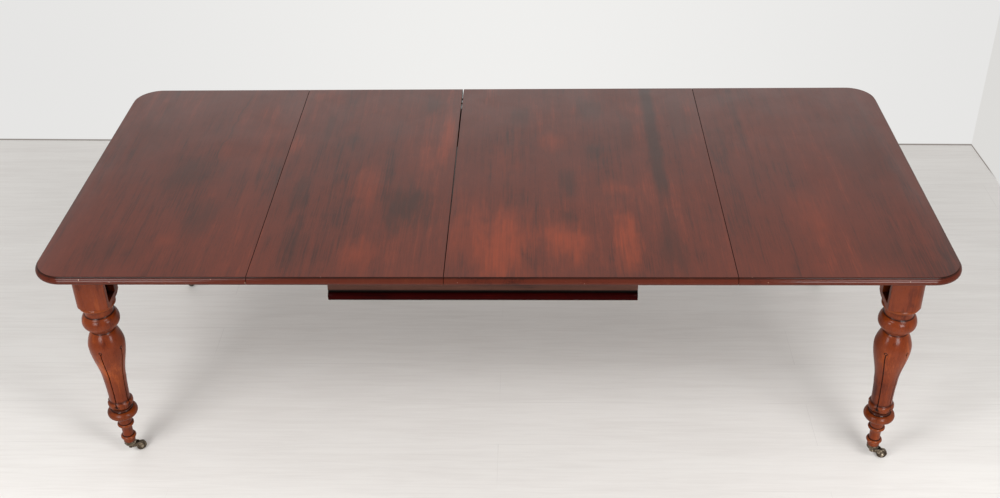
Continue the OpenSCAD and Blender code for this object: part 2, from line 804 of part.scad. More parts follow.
module castor_wheel() {
    half = wheel_half(wheel_w / 2, axle_r + axle_clear);
    last = len(half) - 1;
    color(brass) translate([trail, 0, wheel_z]) rotate([90, 0, 0])
        rotate_extrude($fn = 72)
            polygon(concat(half, [for (i = [0:last]) [half[last - i][0], -half[last - i][1]]]));
}

// Put a castor piece under the leg at side sx, sy
module at_castor(sx, sy) {
    i = (sx > 0 ? 1 : 0) + (sy > 0 ? 2 : 0);
    translate([sx * leg_x, sy * leg_y, 0]) rotate(castor_turn[i]) children();
}

module castor_cup_at(sx, sy) {
    translate([sx * leg_x, sy * leg_y, 0]) castor_cup();
}

// ---- the nodes ----

module left_top() {
    color(wood) mirror([1, 0, 0]) end_board(left_len);
}
module right_top() {
    color(wood) end_board(right_len);
}
module leaf_narrow() {
    color(wood) leaf_board(left_seam_x + seam, leaf_seam_x);
}
module leaf_wide() {
    color(wood) leaf_board(leaf_seam_x, right_seam_x - seam);
}
module leg_front_left() {
    on_side(-1, -1) leg(180 + flute_turn_fl);
}
module leg_front_right() {
    on_side(1, -1) leg(-flute_turn_fr);
}
module leg_back_left() {
    on_side(-1, 1) leg(180 - flute_turn_fl);
}
module leg_back_right() {
    on_side(1, 1) leg(flute_turn_fr);
}
module left_end_rail() {
    on_side(-1, 1) end_rail();
}
module right_end_rail() {
    end_rail();
}
module left_end_moulding() {
    on_side(-1, 1) end_moulding();
}
module right_end_moulding() {
    end_moulding();
}
module left_front_bearer() {
    on_side(1, -1) left_bearer();
}
module left_back_bearer() {
    left_bearer();
}
module right_front_bearer() {
    on_side(1, -1) right_bearer();
}
module right_back_bearer() {
    right_bearer();
}
module left_cross_rail() {
    cross_rail(-end_cross_x, outer_bearer_y, outer_bearer_y);
}
module right_cross_rail() {
    cross_rail(end_cross_x, outer_bearer_y, inner_bearer_y);
}
module left_glue_blocks() {
    glue_blocks(-end_rail_in_x, 1);
}
module right_glue_blocks() {
    glue_blocks(end_rail_in_x, -1);
}
module left_frame_screws() {
    frame_screws([-end_cross_x], outer_bearer_y);
}
module right_frame_screws() {
    frame_screws([end_cross_x], inner_bearer_y);
}
module front_apron() {
    on_side(1, -1) apron();
}
module back_apron() {
    apron();
}
module front_apron_moulding() {
    on_side(1, -1) apron_moulding();
}
module back_apron_moulding() {
    apron_moulding();
}
module centre_front_bearer() {
    on_side(1, -1) centre_bearer();
}
module centre_back_bearer() {
    centre_bearer();
}
module centre_cross_rails() {
    for (x = centre_cross_x) cross_rail(x, apron_in_y, centre_bearer_y);
}
module centre_frame_screws() {
    frame_screws(centre_cross_x, centre_bearer_y);
}
module stop_pegs() {
    pegs();
}
module leaf_forks() {
    forks();
}
module narrow_fork_plates() {
    fork_plates(leaf_seam_x - plate_gap - plate_len);
}
module wide_fork_plates() {
    fork_plates(leaf_seam_x + plate_gap);
}

module castor_cup_front_left() {
    castor_cup_at(-1, -1);
}
module castor_cup_front_right() {
    castor_cup_at(1, -1);
}
module castor_cup_back_left() {
    castor_cup_at(-1, 1);
}
module castor_cup_back_right() {
    castor_cup_at(1, 1);
}
module castor_horn_front_left() {
    at_castor(-1, -1) castor_horn();
}
module castor_horn_front_right() {
    at_castor(1, -1) castor_horn();
}
module castor_horn_back_left() {
    at_castor(-1, 1) castor_horn();
}
module castor_horn_back_right() {
    at_castor(1, 1) castor_horn();
}
module castor_axle_front_left() {
    at_castor(-1, -1) castor_axle();
}
module castor_axle_front_right() {
    at_castor(1, -1) castor_axle();
}
module castor_axle_back_left() {
    at_castor(-1, 1) castor_axle();
}
module castor_axle_back_right() {
    at_castor(1, 1) castor_axle();
}
module castor_wheel_front_left() {
    at_castor(-1, -1) castor_wheel();
}
module castor_wheel_front_right() {
    at_castor(1, -1) castor_wheel();
}
module castor_wheel_back_left() {
    at_castor(-1, 1) castor_wheel();
}
module castor_wheel_back_right() {
    at_castor(1, 1) castor_wheel();
}

left_top();
right_top();
leaf_narrow();
leaf_wide();
leg_front_left();
leg_back_left();
leg_front_right();
leg_back_right();
left_end_rail();
right_end_rail();
left_end_moulding();
right_end_moulding();
left_front_bearer();
left_back_bearer();
right_front_bearer();
right_back_bearer();
left_cross_rail();
right_cross_rail();
left_glue_blocks();
right_glue_blocks();
left_frame_screws();
right_frame_screws();
front_apron();
back_apron();
front_apron_moulding();
back_apron_moulding();
centre_front_bearer();
centre_back_bearer();
centre_cross_rails();
centre_frame_screws();
stop_pegs();
leaf_forks();
narrow_fork_plates();
wide_fork_plates();
castor_cup_front_left();
castor_cup_back_left();
castor_cup_front_right();
castor_cup_back_right();
castor_horn_front_left();
castor_horn_back_left();
castor_horn_front_right();
castor_horn_back_right();
castor_axle_front_left();
castor_axle_back_left();
castor_axle_front_right();
castor_axle_back_right();
castor_wheel_front_left();
castor_wheel_back_left();
castor_wheel_front_right();
castor_wheel_back_right();
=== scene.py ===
import math
from types import SimpleNamespace
import bmesh
import bpy
from mathutils import Matrix, Vector, noise


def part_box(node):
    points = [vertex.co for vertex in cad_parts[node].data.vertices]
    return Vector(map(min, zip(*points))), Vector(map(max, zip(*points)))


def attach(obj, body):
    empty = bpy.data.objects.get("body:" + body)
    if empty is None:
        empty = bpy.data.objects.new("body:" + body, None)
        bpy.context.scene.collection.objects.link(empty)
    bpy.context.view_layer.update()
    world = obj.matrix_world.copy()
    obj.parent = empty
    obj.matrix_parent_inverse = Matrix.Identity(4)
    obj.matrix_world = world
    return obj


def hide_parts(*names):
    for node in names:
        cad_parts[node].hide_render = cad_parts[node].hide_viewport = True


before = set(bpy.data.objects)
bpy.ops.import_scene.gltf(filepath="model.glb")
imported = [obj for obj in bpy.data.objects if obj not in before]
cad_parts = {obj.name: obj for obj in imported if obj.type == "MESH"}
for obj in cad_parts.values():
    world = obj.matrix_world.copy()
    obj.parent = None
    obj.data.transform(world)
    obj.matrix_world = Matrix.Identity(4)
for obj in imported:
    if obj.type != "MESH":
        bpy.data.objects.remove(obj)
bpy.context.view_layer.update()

# the model's own places, which everything below is built on
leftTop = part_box("left_top")
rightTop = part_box("right_top")
tableTop = rightTop[1].z
boardUnder = rightTop[0].z
halfWidth = rightTop[1].y
ends = {"left": -1, "right": 1}
sides = {"front": -1, "back": 1}
corners = [(side, end) for side in sides for end in ends]


def legAxis(side, end):
    low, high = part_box("castor_cup_" + side + "_" + end)
    return Vector(((low.x + high.x) / 2, (low.y + high.y) / 2, 0))


def smoothStep(low, high, value):
    t = min(max((value - low) / (high - low), 0.0), 1.0)
    return t * t * (3 - 2 * t)


def onCircle(radius, degrees, across=0.0, up=0.0):
    a = math.radians(degrees)
    return across + radius * math.cos(a), up + radius * math.sin(a)


# how pieces are made and handed to the frame

def linked(name, data):
    piece = bpy.data.objects.new(name, data)
    bpy.context.collection.objects.link(piece)
    return piece


def paint(mesh, name, values, domain="POINT"):
    # a number for each point or face, which a finish reads by this name
    layer = mesh.attributes.new(name, "FLOAT", domain)
    layer.data.foreach_set("value", values)


def turnFacesOut(mesh, weld=True):
    work = bmesh.new()
    work.from_mesh(mesh)
    if weld:
        bmesh.ops.remove_doubles(work, verts=work.verts, dist=1e-6)
    bmesh.ops.recalc_face_normals(work, faces=work.faces)
    work.to_mesh(mesh)
    work.free()


def placeMesh(name, mesh, material, sharpAngle):
    piece = linked(name, mesh)
    mesh.materials.clear()
    mesh.materials.append(material)
    mesh.shade_smooth()
    mesh.set_sharp_from_angle(angle=math.radians(sharpAngle))
    return piece


def newPiece(name, points, faces, material, sharpAngle=40, weld=True, domain="POINT", **layers):
    mesh = bpy.data.meshes.new(name)
    mesh.from_pydata([tuple(p) for p in points], [], faces)
    for label, values in layers.items():
        paint(mesh, label, values, domain)
    turnFacesOut(mesh, weld)
    return placeMesh(name, mesh, material, sharpAngle)


def handOver(pieces, node, body):
    for piece in pieces:
        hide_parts(node)
        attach(piece, body)


def applyModifiers(piece):
    depsgraph = bpy.context.evaluated_depsgraph_get()
    plain = bpy.data.meshes.new_from_object(piece.evaluated_get(depsgraph))
    piece.modifiers.clear()
    old = piece.data
    piece.data = plain
    bpy.data.meshes.remove(old)


def cutBox(piece, low, high):
    mesh = bpy.data.meshes.new("cutter")
    cutter = linked("cutter", mesh)
    work = bmesh.new()
    bmesh.ops.create_cube(work, size=1)
    for v in work.verts:
        v.co = [high[axis] if v.co[axis] > 0 else low[axis] for axis in range(3)]
    work.to_mesh(mesh)
    work.free()
    cut = piece.modifiers.new("cut", "BOOLEAN")
    cut.solver = "EXACT"
    cut.object = cutter
    applyModifiers(piece)
    bpy.data.objects.remove(cutter)


def gridFaces(rows, columns):
    # faces between rows of points, each row closed on itself
    faces = []
    for r in range(rows - 1):
        for c in range(columns):
            d = (c + 1) % columns
            faces.append((r * columns + c, r * columns + d, (r + 1) * columns + d, (r + 1) * columns + c))
    return faces


def cappedFaces(rows, columns):
    last = (rows - 1) * columns
    return gridFaces(rows, columns) + [tuple(range(columns)), tuple(range(last, last + columns))]


def lathePiece(name, run, turns, matrix, material, bored=False):
    # run holds (radius, height) pairs; a bored piece's outline closes on itself
    points = []
    for radius, height in run:
        for i in range(turns):
            points.append(matrix @ Vector((*onCircle(radius, 360 * i / turns), height)))
    if bored:
        last = (len(run) - 1) * turns
        faces = gridFaces(len(run), turns)
        faces += [(last + i, last + (i + 1) % turns, (i + 1) % turns, i) for i in range(turns)]
    else:
        faces = cappedFaces(len(run), turns)
    return newPiece(name, points, faces, material)


def mirroredRun(half):
    # an outline's upper half, followed by the same below the middle
    return list(half) + [(radius, -height) for radius, height in reversed(half) if height]


def platePiece(name, outline, low, high, bevel, matrix, material):
    # an outline in the local XY plane, given thickness from low to high and softened edges
    work = bmesh.new()
    lower, upper = ([work.verts.new((x, y, z)) for x, y in outline] for z in (low, high))
    n = len(outline)
    caps = [work.faces.new(lower), work.faces.new(upper)]
    for i in range(n):
        work.faces.new((lower[i], lower[(i + 1) % n], upper[(i + 1) % n], upper[i]))
    rims = [e for f in caps for e in f.edges]
    bmesh.ops.recalc_face_normals(work, faces=work.faces)
    bmesh.ops.bevel(work, geom=rims, offset=bevel, segments=3, profile=0.6, affect="EDGES")
    for v in work.verts:
        v.co = matrix @ v.co
    bmesh.ops.recalc_face_normals(work, faces=work.faces)
    mesh = bpy.data.meshes.new(name)
    work.to_mesh(mesh)
    work.free()
    return placeMesh(name, mesh, material, 40)


# how shaders are put together

def fill(tree, sockets, values):
    # a value is a constant or another node's socket
    for key, value in values.items():
        if isinstance(value, bpy.types.NodeSocket):
            tree.links.new(value, sockets[key])
        else:
            sockets[key].default_value = value


def addNode(tree, kind, inputs=None, **settings):
    node = tree.nodes.new(kind)
    for key, value in settings.items():
        setattr(node, key, value)
    fill(tree, node.inputs, inputs or {})
    return node


def maths(tree, operation, first, second=0.0, clamp=False):
    node = addNode(tree, "ShaderNodeMath", {0: first, 1: second}, operation=operation, use_clamp=clamp)
    return node.outputs[0]


def arithmetic(tree):
    # functions that add, subtract and multiply in this tree
    return [lambda a, b, way=way: maths(tree, way, a, b) for way in ("ADD", "SUBTRACT", "MULTIPLY")]


def vectorMaths(tree, operation, first, second):
    return addNode(tree, "ShaderNodeVectorMath", {0: first, 1: second}, operation=operation).outputs[0]


def noiseValue(tree, vector, detail=3.0, roughness=0.5, distortion=0.0):
    return addNode(tree, "ShaderNodeTexNoise", {
        "Vector": vector, "Scale": 1.0, "Detail": detail, "Roughness": roughness,
        "Distortion": distortion}).outputs["Fac"]


def scaledNoise(tree, place, scale, *settings):
    return noiseValue(tree, vectorMaths(tree, "MULTIPLY", place, scale), *settings)


def remap(tree, value, low, high, toLow=0.0, toHigh=1.0):
    return addNode(tree, "ShaderNodeMapRange", {
        "Value": value, "From Min": low, "From Max": high, "To Min": toLow, "To Max": toHigh},
        interpolation_type="SMOOTHSTEP").outputs["Result"]


def mixColor(tree, factor, first, second):
    # these inputs share their names with others on the node, so they go by number
    return addNode(tree, "ShaderNodeMix", {0: factor, 6: first, 7: second}, data_type="RGBA").outputs[2]


def splitVector(tree, vector):
    return addNode(tree, "ShaderNodeSeparateXYZ", {0: vector}).outputs


def joinedVector(tree, x, y, z):
    return addNode(tree, "ShaderNodeCombineXYZ", {"X": x, "Y": y, "Z": z}).outputs[0]


def bumpNormal(tree, height, strength):
    node = addNode(tree, "ShaderNodeBump", {"Height": height, "Strength": strength, "Distance": 0.0003})
    return node.outputs[0]


def ownPlace(tree):
    return addNode(tree, "ShaderNodeTexCoord").outputs["Object"]


def newGroup(name, inputs, outputs):
    tree = bpy.data.node_groups.new(name, "ShaderNodeTree")
    for label, kind, value in [("Position", "Vector", None)] + inputs:
        socket = tree.interface.new_socket(label, in_out="INPUT", socket_type="NodeSocket" + kind)
        if value is not None:
            socket.default_value = value
    for label, kind in outputs.items():
        tree.interface.new_socket(label, in_out="OUTPUT", socket_type="NodeSocket" + kind)
    source = tree.nodes.new("NodeGroupInput")
    sink = tree.nodes.new("NodeGroupOutput")
    return tree, source.outputs, sink.inputs


def buildWoodGroup():
    # the position comes in metres with its Z along the grain
    tree, given, result = newGroup("woodFigure", [
        ("Deep", "Color", (0.03, 0.01, 0.008, 1)), ("Base", "Color", (0.1, 0.03, 0.02, 1)),
        ("Bright", "Color", (0.2, 0.05, 0.03, 1)), ("Cloud Width", "Float", 0.09),
        ("Cloud Contrast", "Float", 1.0), ("Mottle", "Float", 0.3), ("Grain Width", "Float", 0.004),
        ("Grain", "Float", 0.4)], {"Color": "Color", "Figure": "Float", "Height": "Float"})
    plus, minus, times = arithmetic(tree)
    perCloud = maths(tree, "DIVIDE", 1.0, given["Cloud Width"])
    perGrain = maths(tree, "DIVIDE", 1.0, given["Grain Width"])
    ribbonShare, poreShare = 0.8, 0.5

    def figure(rate, along, *settings):
        size = joinedVector(tree, rate, rate, times(rate, along))
        return scaledNoise(tree, given["Position"], size, *settings)

    cloud = figure(perCloud, 0.33, 2.5, 0.55, 0.35)
    broad = figure(times(perCloud, 0.37), 0.5, 2.0, 0.5, 0.2)
    mottle = figure(times(perCloud, 2.6), 0.75, 2.0, 0.5, 0.6)
    ribbon = figure(times(perGrain, 0.16), 0.03, 3.0, 0.55, 0.3)
    grain = figure(perGrain, 0.035, 4.0, 0.62, 0.2)
    pores = remap(tree, figure(times(perGrain, 3.4), 0.05, 1.0, 0.5), 0.6, 0.72)
    clouds = times(plus(minus(cloud, 0.5), minus(broad, 0.5)), given["Cloud Contrast"])
    fine = plus(times(minus(ribbon, 0.5), ribbonShare), minus(grain, 0.5))
    shade = plus(clouds, times(minus(mottle, 0.5), given["Mottle"]))
    shade = plus(plus(shade, times(fine, given["Grain"])), 0.5)
    dark = mixColor(tree, remap(tree, shade, 0.1, 0.52), given["Deep"], given["Base"])
    color = mixColor(tree, remap(tree, shade, 0.52, 0.95), dark, given["Bright"])
    fill(tree, result, {
        "Color": mixColor(tree, times(pores, poreShare), color, given["Deep"]),
        "Figure": maths(tree, "MULTIPLY", shade, 1.0, True),
        "Height": minus(times(grain, 0.5), pores)})
    return tree


def buildWearGroup():
    # slow dull and shiny patches and handling marks for any polished surface
    tree, given, result = newGroup("polishWear", [
        ("Patch Size", "Float", 0.12), ("Shiny", "Float", 0.3), ("Dull", "Float", 0.45)],
        {"Roughness": "Float", "Scuff": "Float"})
    plus, minus, times = arithmetic(tree)
    rate = maths(tree, "DIVIDE", 1.0, given["Patch Size"])
    moved = vectorMaths(tree, "MULTIPLY", given["Position"], joinedVector(tree, rate, rate, rate))
    patch = remap(tree, noiseValue(tree, moved, 4.0, 0.6, 0.4), 0.3, 0.7)
    scuff = remap(tree, scaledNoise(tree, moved, (9, 9, 9), 5.0, 0.7, 1.0), 0.6, 0.75)
    rough = plus(given["Shiny"], times(patch, minus(given["Dull"], given["Shiny"])))
    fill(tree, result, {"Roughness": plus(rough, times(scuff, 0.08)), "Scuff": scuff})
    return tree


def buildVeinGroup():
    # one dark vein of the heartwood that wanders along the grain
    tree, given, result = newGroup("darkVein", [
        ("Across", "Float", 0.0), ("Width", "Float", 0.03), ("From", "Float", -1.0), ("To", "Float", 1.0),
        ("Wander", "Float", 0.04)], {"Mask": "Float"})
    plus, minus, times = arithmetic(tree)
    split = splitVector(tree, given["Position"])
    along = split["Z"]
    wave = addNode(tree, "ShaderNodeCombineXYZ", {"X": times(along, 3.1), "Y": given["Across"]})
    sway = minus(noiseValue(tree, wave.outputs[0], 3.0, 0.6), 0.5)
    middle = plus(given["Across"], times(sway, given["Wander"]))
    apart = maths(tree, "ABSOLUTE", minus(split["X"], middle))
    torn = minus(scaledNoise(tree, given["Position"], (30, 30, 9), 4.0, 0.6, 0.5), 0.5)
    apart = plus(maths(tree, "DIVIDE", apart, given["Width"]), times(torn, 1.1))
    taper = 0.08
    start = remap(tree, minus(along, given["From"]), -taper, taper)
    stop = remap(tree, minus(along, given["To"]), -taper, taper, 1.0, 0.0)
    fill(tree, result, {"Mask": times(remap(tree, apart, 0.35, 1.1, 1.0, 0.0), times(start, stop))})
    return tree


def buildPatchGroup():
    # a soft uneven patch of lighter or darker wood
    tree, given, result = newGroup("softPatch", [
        ("Centre", "Vector", (0, 0, 0)), ("Half Size", "Vector", (0.1, 1, 0.2))], {"Mask": "Float"})
    plus, minus, times = arithmetic(tree)
    moved = vectorMaths(tree, "SUBTRACT", given["Position"], given["Centre"])
    split = splitVector(tree, vectorMaths(tree, "DIVIDE", moved, given["Half Size"]))
    across, along = split["X"], split["Z"]
    reach = maths(tree, "SQRT", plus(times(across, across), times(along, along)))
    soft = scaledNoise(tree, given["Position"], (16, 16, 5), 3.0, 0.55, 0.4)
    torn = scaledNoise(tree, given["Position"], (110, 110, 11), 3.0, 0.6, 0.2)
    for edge, unevenness in ((soft, 1.7), (torn, 1.0)):
        reach = plus(reach, times(minus(edge, 0.5), unevenness))
    fill(tree, result, {"Mask": remap(tree, reach, 0.1, 1.15, 1.0, 0.0)})
    return tree


woodGroup = buildWoodGroup()
wearGroup = buildWearGroup()
veinGroup = buildVeinGroup()
patchGroup = buildPatchGroup()


def useGroup(tree, group, inputs):
    return addNode(tree, "ShaderNodeGroup", inputs, node_tree=group).outputs


def newMaterial(name):
    material = bpy.data.materials.new(name)
    material.use_nodes = True
    return material, material.node_tree, material.node_tree.nodes["Principled BSDF"]


def grainPosition(tree, along, offset):
    # the piece's own coordinates, moved by an offset and with the grain's direction last
    split = splitVector(tree, ownPlace(tree))
    order = {"x": "YZX", "y": "XZY", "z": "XYZ"}[along]
    return vectorMaths(tree, "ADD", joinedVector(tree, *(split[axis] for axis in order)), offset)


def attribute(tree, name):
    return addNode(tree, "ShaderNodeAttribute", attribute_name=name).outputs["Fac"]


def woodMaterial(name, look, along, offset=(0, 0, 0), veins=(), patches=(), recess=False, grime=False):
    material, tree, shader = newMaterial(name)
    plus, minus, times = arithmetic(tree)
    place = grainPosition(tree, along, offset)
    wood = useGroup(tree, woodGroup, {
        "Position": place, "Deep": look["deep"], "Base": look["base"], "Bright": look["bright"],
        "Cloud Width": look["cloudWidth"], "Cloud Contrast": look["cloudContrast"],
        "Mottle": look["mottle"], "Grain Width": look["grainWidth"], "Grain": look["grain"]})
    color = wood["Color"]
    rough = useGroup(tree, wearGroup, {
        "Position": place, "Patch Size": look["patch"], "Shiny": look["shiny"],
        "Dull": look["dull"]})["Roughness"]
    grainShare = remap(tree, wood["Figure"], 0.2, 0.75, 0.35, 1.0)
    for x, y, patchWide, patchLong, weight, tint in patches:
        mask = useGroup(tree, patchGroup, {
            "Position": place, "Centre": (x + offset[0], 0, y + offset[2]),
            "Half Size": (patchWide, 1, patchLong)})["Mask"]
        share = times(mask, weight)
        if tint is heartRed:
            # red wood shows less where the grain is dark
            share = times(share, grainShare)
        color = mixColor(tree, share, color, tint)
    for vein in veins:
        mask = useGroup(tree, veinGroup, {
            "Position": place, "Across": vein["across"] + offset[0], "Width": vein["width"],
            "From": vein["start"] + offset[2], "To": vein["stop"] + offset[2],
            "Wander": vein["wander"]})["Mask"]
        color = mixColor(tree, times(mask, vein["weight"]), color, vein["color"])
    if recess:
        hollow, ridge = attribute(tree, "recess"), attribute(tree, "ridge")
        color = mixColor(tree, times(ridge, look["rub"]), color, look["rubbed"])
        # hollows painted near black: shade and grime in the legs' cuts and coves, shade in the rails' grooves
        # and the block's slot
        color = mixColor(tree, hollow, color, look["grime"])
        rough = plus(rough, times(hollow, look["hollowRough"]))
    if grime:
        shadeAndDirt, worn = attribute(tree, "grime"), attribute(tree, "worn")
        rubbing = times(worn, remap(tree, wood["Figure"], 0.3, 0.8))
        color = mixColor(tree, times(rubbing, look["rub"]), color, look["rubbed"])
        chips = remap(tree, scaledNoise(tree, place, look["chipRate"], 1.0, 0.5), *look["chipShare"])
        color = mixColor(tree, times(chips, worn), color, look["chip"])
        # painted shade in the quirk and under the nose, dirt in the seams
        color = mixColor(tree, shadeAndDirt, color, look["grime"])
        rough = plus(minus(rough, times(worn, look["noseShine"])), times(shadeAndDirt, look["grimeRough"]))
    fill(tree, shader.inputs, {
        "Base Color": color, "Roughness": rough, "Normal": bumpNormal(tree, wood["Height"], look["bump"]),
        "Specular IOR Level": look["specular"], "Coat Weight": look["coat"],
        "Coat Roughness": look["coatRough"]})
    return material


def metalMaterial(name, look):
    # dark and worn metal, bare and brighter on its high specks
    material, tree, shader = newMaterial(name)
    plus, minus, times = arithmetic(tree)
    place = ownPlace(tree)
    patches = scaledNoise(tree, place, (90, 90, 90), 5.0, 0.65, 0.6)
    specks = scaledNoise(tree, place, (520, 520, 520), 3.0, 0.6)
    bare = times(remap(tree, patches, 0.5, 0.66), remap(tree, specks, 0.42, 0.58))
    color = mixColor(tree, remap(tree, patches, 0.36, 0.56), look["deep"], look["base"])
    fill(tree, shader.inputs, {
        "Base Color": mixColor(tree, bare, color, look["bright"]), "Metallic": 0.9,
        "Roughness": remap(tree, plus(patches, bare), 0.35, 1.0, look["dull"], look["shiny"]),
        "Normal": bumpNormal(tree, specks, 0.25)})
    return material


def steelMaterial(name, dark, light):
    material, tree, shader = newMaterial(name)
    patches = scaledNoise(tree, ownPlace(tree), (150, 150, 150), 4.0, 0.6)
    fill(tree, shader.inputs, {
        "Base Color": mixColor(tree, remap(tree, patches, 0.35, 0.65), dark, light), "Metallic": 0.9,
        "Roughness": remap(tree, patches, 0.3, 0.7, 0.55, 0.35)})
    return material


# the finishes

topLook = {
    "deep": (0.05, 0.0145, 0.0098, 1), "base": (0.118, 0.0235, 0.0118, 1), "bright": (0.2, 0.036, 0.0148, 1),
    "cloudWidth": 0.1, "cloudContrast": 0.55, "mottle": 0.25, "grainWidth": 0.0036, "grain": 0.8,
    "patch": 0.25, "shiny": 0.33, "dull": 0.43, "bump": 0.14, "specular": 0.32,
    "coat": 0.17, "coatRough": 0.3, "rub": 0.55, "rubbed": (0.052, 0.0125, 0.0065, 1),
    # the near black below serves as painted shade in quirks, grooves and hollows, and as dirt in the seams
    "grime": (0.006, 0.003, 0.002, 1), "noseShine": 0.1, "chip": (0.55, 0.36, 0.26, 1),
    "chipRate": (150, 150, 110), "chipShare": (0.79, 0.81), "hollowRough": 0.35, "grimeRough": 0.3,
}
noseLook = dict(
    topLook, deep=(0.04, 0.008, 0.004, 1), base=(0.085, 0.0145, 0.0065, 1), bright=(0.15, 0.028, 0.011, 1),
    specular=0.02, coat=0.3, coatRough=0.11, cloudContrast=0.9)
legLook = dict(
    topLook, deep=(0.045, 0.0045, 0.0009, 1), base=(0.142, 0.0228, 0.0037, 1), bright=(0.29, 0.058, 0.009, 1),
    cloudWidth=0.045, cloudContrast=0.85, mottle=0.3, grainWidth=0.003, grain=0.5, patch=0.08, shiny=0.3,
    dull=0.42, bump=0.08, specular=0.03, coat=0.36, coatRough=0.19, rub=0.2,
    rubbed=(0.32, 0.085, 0.02, 1), grime=(0.005, 0.0016, 0.001, 1))
# the frame and moulding colours are a dark stain, darkened further as painted shade under the top
frameLook = dict(
    topLook, deep=(0.03, 0.012, 0.0085, 1), base=(0.07, 0.026, 0.017, 1), bright=(0.11, 0.042, 0.027, 1),
    cloudWidth=0.07, cloudContrast=0.8, coat=0.0, specular=0.15, shiny=0.4, dull=0.55)
mouldingLook = dict(
    topLook, deep=(0.006, 0.0006, 0.0006, 1), base=(0.02, 0.0009, 0.0008, 1),
    bright=(0.042, 0.002, 0.0014, 1), cloudWidth=0.06, coat=0.03, coatRough=0.2, specular=0.0, shiny=0.4,
    dull=0.5)
bareLook = dict(
    topLook, deep=(0.13, 0.06, 0.03, 1), base=(0.27, 0.14, 0.07, 1), bright=(0.36, 0.2, 0.1, 1),
    cloudWidth=0.06, cloudContrast=0.7, grain=0.7, shiny=0.6, dull=0.75, coat=0.0, bump=0.3)
underLook = dict(
    frameLook, deep=(0.05, 0.021, 0.013, 1), base=(0.1, 0.043, 0.026, 1), bright=(0.15, 0.07, 0.042, 1),
    cloudWidth=0.1, shiny=0.55, dull=0.7, specular=0.1)
brassLook = {
    "deep": (0.045, 0.032, 0.022, 1), "base": (0.14, 0.108, 0.075, 1), "bright": (0.55, 0.46, 0.34, 1),
    "dull": 0.5, "shiny": 0.22,
}

heartDark = (0.042, 0.0165, 0.0115, 1)
heartRed = (0.26, 0.041, 0.012, 1)
# soft patches of the boards: place along and across the table, half width, half length, weight, colour
patches = {
    "left": (
        (-0.93, -0.02, 0.11, 0.13, 0.55, heartDark), (-0.82, -0.25, 0.05, 0.12, 0.5, heartDark),
        (-1.08, 0.25, 0.08, 0.2, 0.3, heartDark), (-1.02, -0.42, 0.12, 0.1, 0.3, heartDark),
        (-0.84, 0.13, 0.03, 0.07, 0.35, heartRed), (-0.90, -0.36, 0.035, 0.06, 0.3, heartRed),
        (-0.70, 0.1, 0.05, 0.3, 0.25, heartRed)),
    "narrow": (
        (-0.615, 0.17, 0.028, 0.11, 0.8, heartRed), (-0.533, 0.3, 0.02, 0.16, 0.5, heartDark),
        (-0.45, 0.18, 0.03, 0.08, 0.5, heartDark), (-0.217, 0.41, 0.04, 0.1, 0.55, heartDark),
        (-0.156, 0.2, 0.022, 0.22, 0.7, heartRed), (-0.367, -0.1, 0.07, 0.15, 0.5, heartRed),
        (-0.23, -0.2, 0.085, 0.17, 0.85, heartDark), (-0.37, -0.42, 0.06, 0.1, 0.55, heartRed),
        (-0.565, -0.1, 0.03, 0.13, 0.5, heartDark), (-0.54, -0.4, 0.04, 0.12, 0.35, heartDark),
        (-0.22, 0.08, 0.05, 0.1, 0.35, heartRed)),
    "wide": (
        (0.067, 0.35, 0.04, 0.08, 0.5, heartDark), (0.29, 0.38, 0.07, 0.1, 0.5, heartDark),
        (0.2, -0.06, 0.035, 0.11, 0.6, heartDark), (0.283, 0.12, 0.03, 0.09, 0.5, heartDark),
        (0.39, 0.2, 0.03, 0.16, 0.4, heartDark), (0.565, 0.35, 0.05, 0.2, 0.3, heartDark),
        (0.04, -0.4, 0.09, 0.22, 0.95, heartRed), (0.19, -0.37, 0.08, 0.12, 0.95, heartRed),
        (0.36, -0.36, 0.05, 0.2, 1.0, heartRed), (0.36, -0.1, 0.08, 0.06, 0.5, heartRed),
        (-0.08, -0.3, 0.06, 0.24, 0.5, heartRed), (0.17, 0.17, 0.05, 0.07, 0.4, heartRed),
        (0.03, 0.05, 0.07, 0.16, 0.3, heartRed), (0.465, -0.38, 0.05, 0.18, 0.6, heartDark),
        (0.2, -0.24, 0.03, 0.06, 0.4, heartDark), (0.385, -0.36, 0.022, 0.15, 0.6, heartRed)),
    "right": (
        (0.885, -0.24, 0.08, 0.16, 0.35, heartRed), (1.1, 0.1, 0.1, 0.3, 0.3, heartDark),
        (0.75, 0.2, 0.08, 0.2, 0.25, heartRed), (1.02, -0.42, 0.1, 0.1, 0.3, heartDark)),
}
leftVein = {"across": -0.835, "width": 0.0035, "start": 0.05, "stop": 0.5, "wander": 0.12, "weight": 0.6,
            "color": heartDark}
wideVein = {"across": 0.475, "width": 0.026, "start": -0.14, "stop": 0.7, "wander": 0.05, "weight": 0.75,
            "color": heartDark}

boardFinishes = {
    "left": woodMaterial("mahoganyLeft", topLook, "y", (3.1, 0.0, 1.3), (leftVein,), patches["left"]),
    "narrow": woodMaterial("mahoganyNarrow", topLook, "y", (7.4, 2.0, 4.1), (), patches["narrow"]),
    "wide": woodMaterial("mahoganyWide", dict(topLook, mottle=0.3), "y", (12.7, 5.0, 2.2), (wideVein,),
                         patches["wide"]),
    "right": woodMaterial("mahoganyRight", topLook, "y", (17.9, 8.0, 6.3), (), patches["right"]),
}
noseFinish = woodMaterial("mouldedEdge", noseLook, "y", (5.3, 0.0, 2.7), grime=True)
underFinish = woodMaterial("boardUnderside", underLook, "y", (2.9, 0.0, 8.1))
legFinish = woodMaterial("turnedMahogany", legLook, "z", recess=True)
frameAlongX = woodMaterial("frameAlongX", frameLook, "x", (1.0, 2.0, 3.0), recess=True)
frameAlongY = woodMaterial("frameAlongY", frameLook, "y", (4.0, 5.0, 6.0), recess=True)
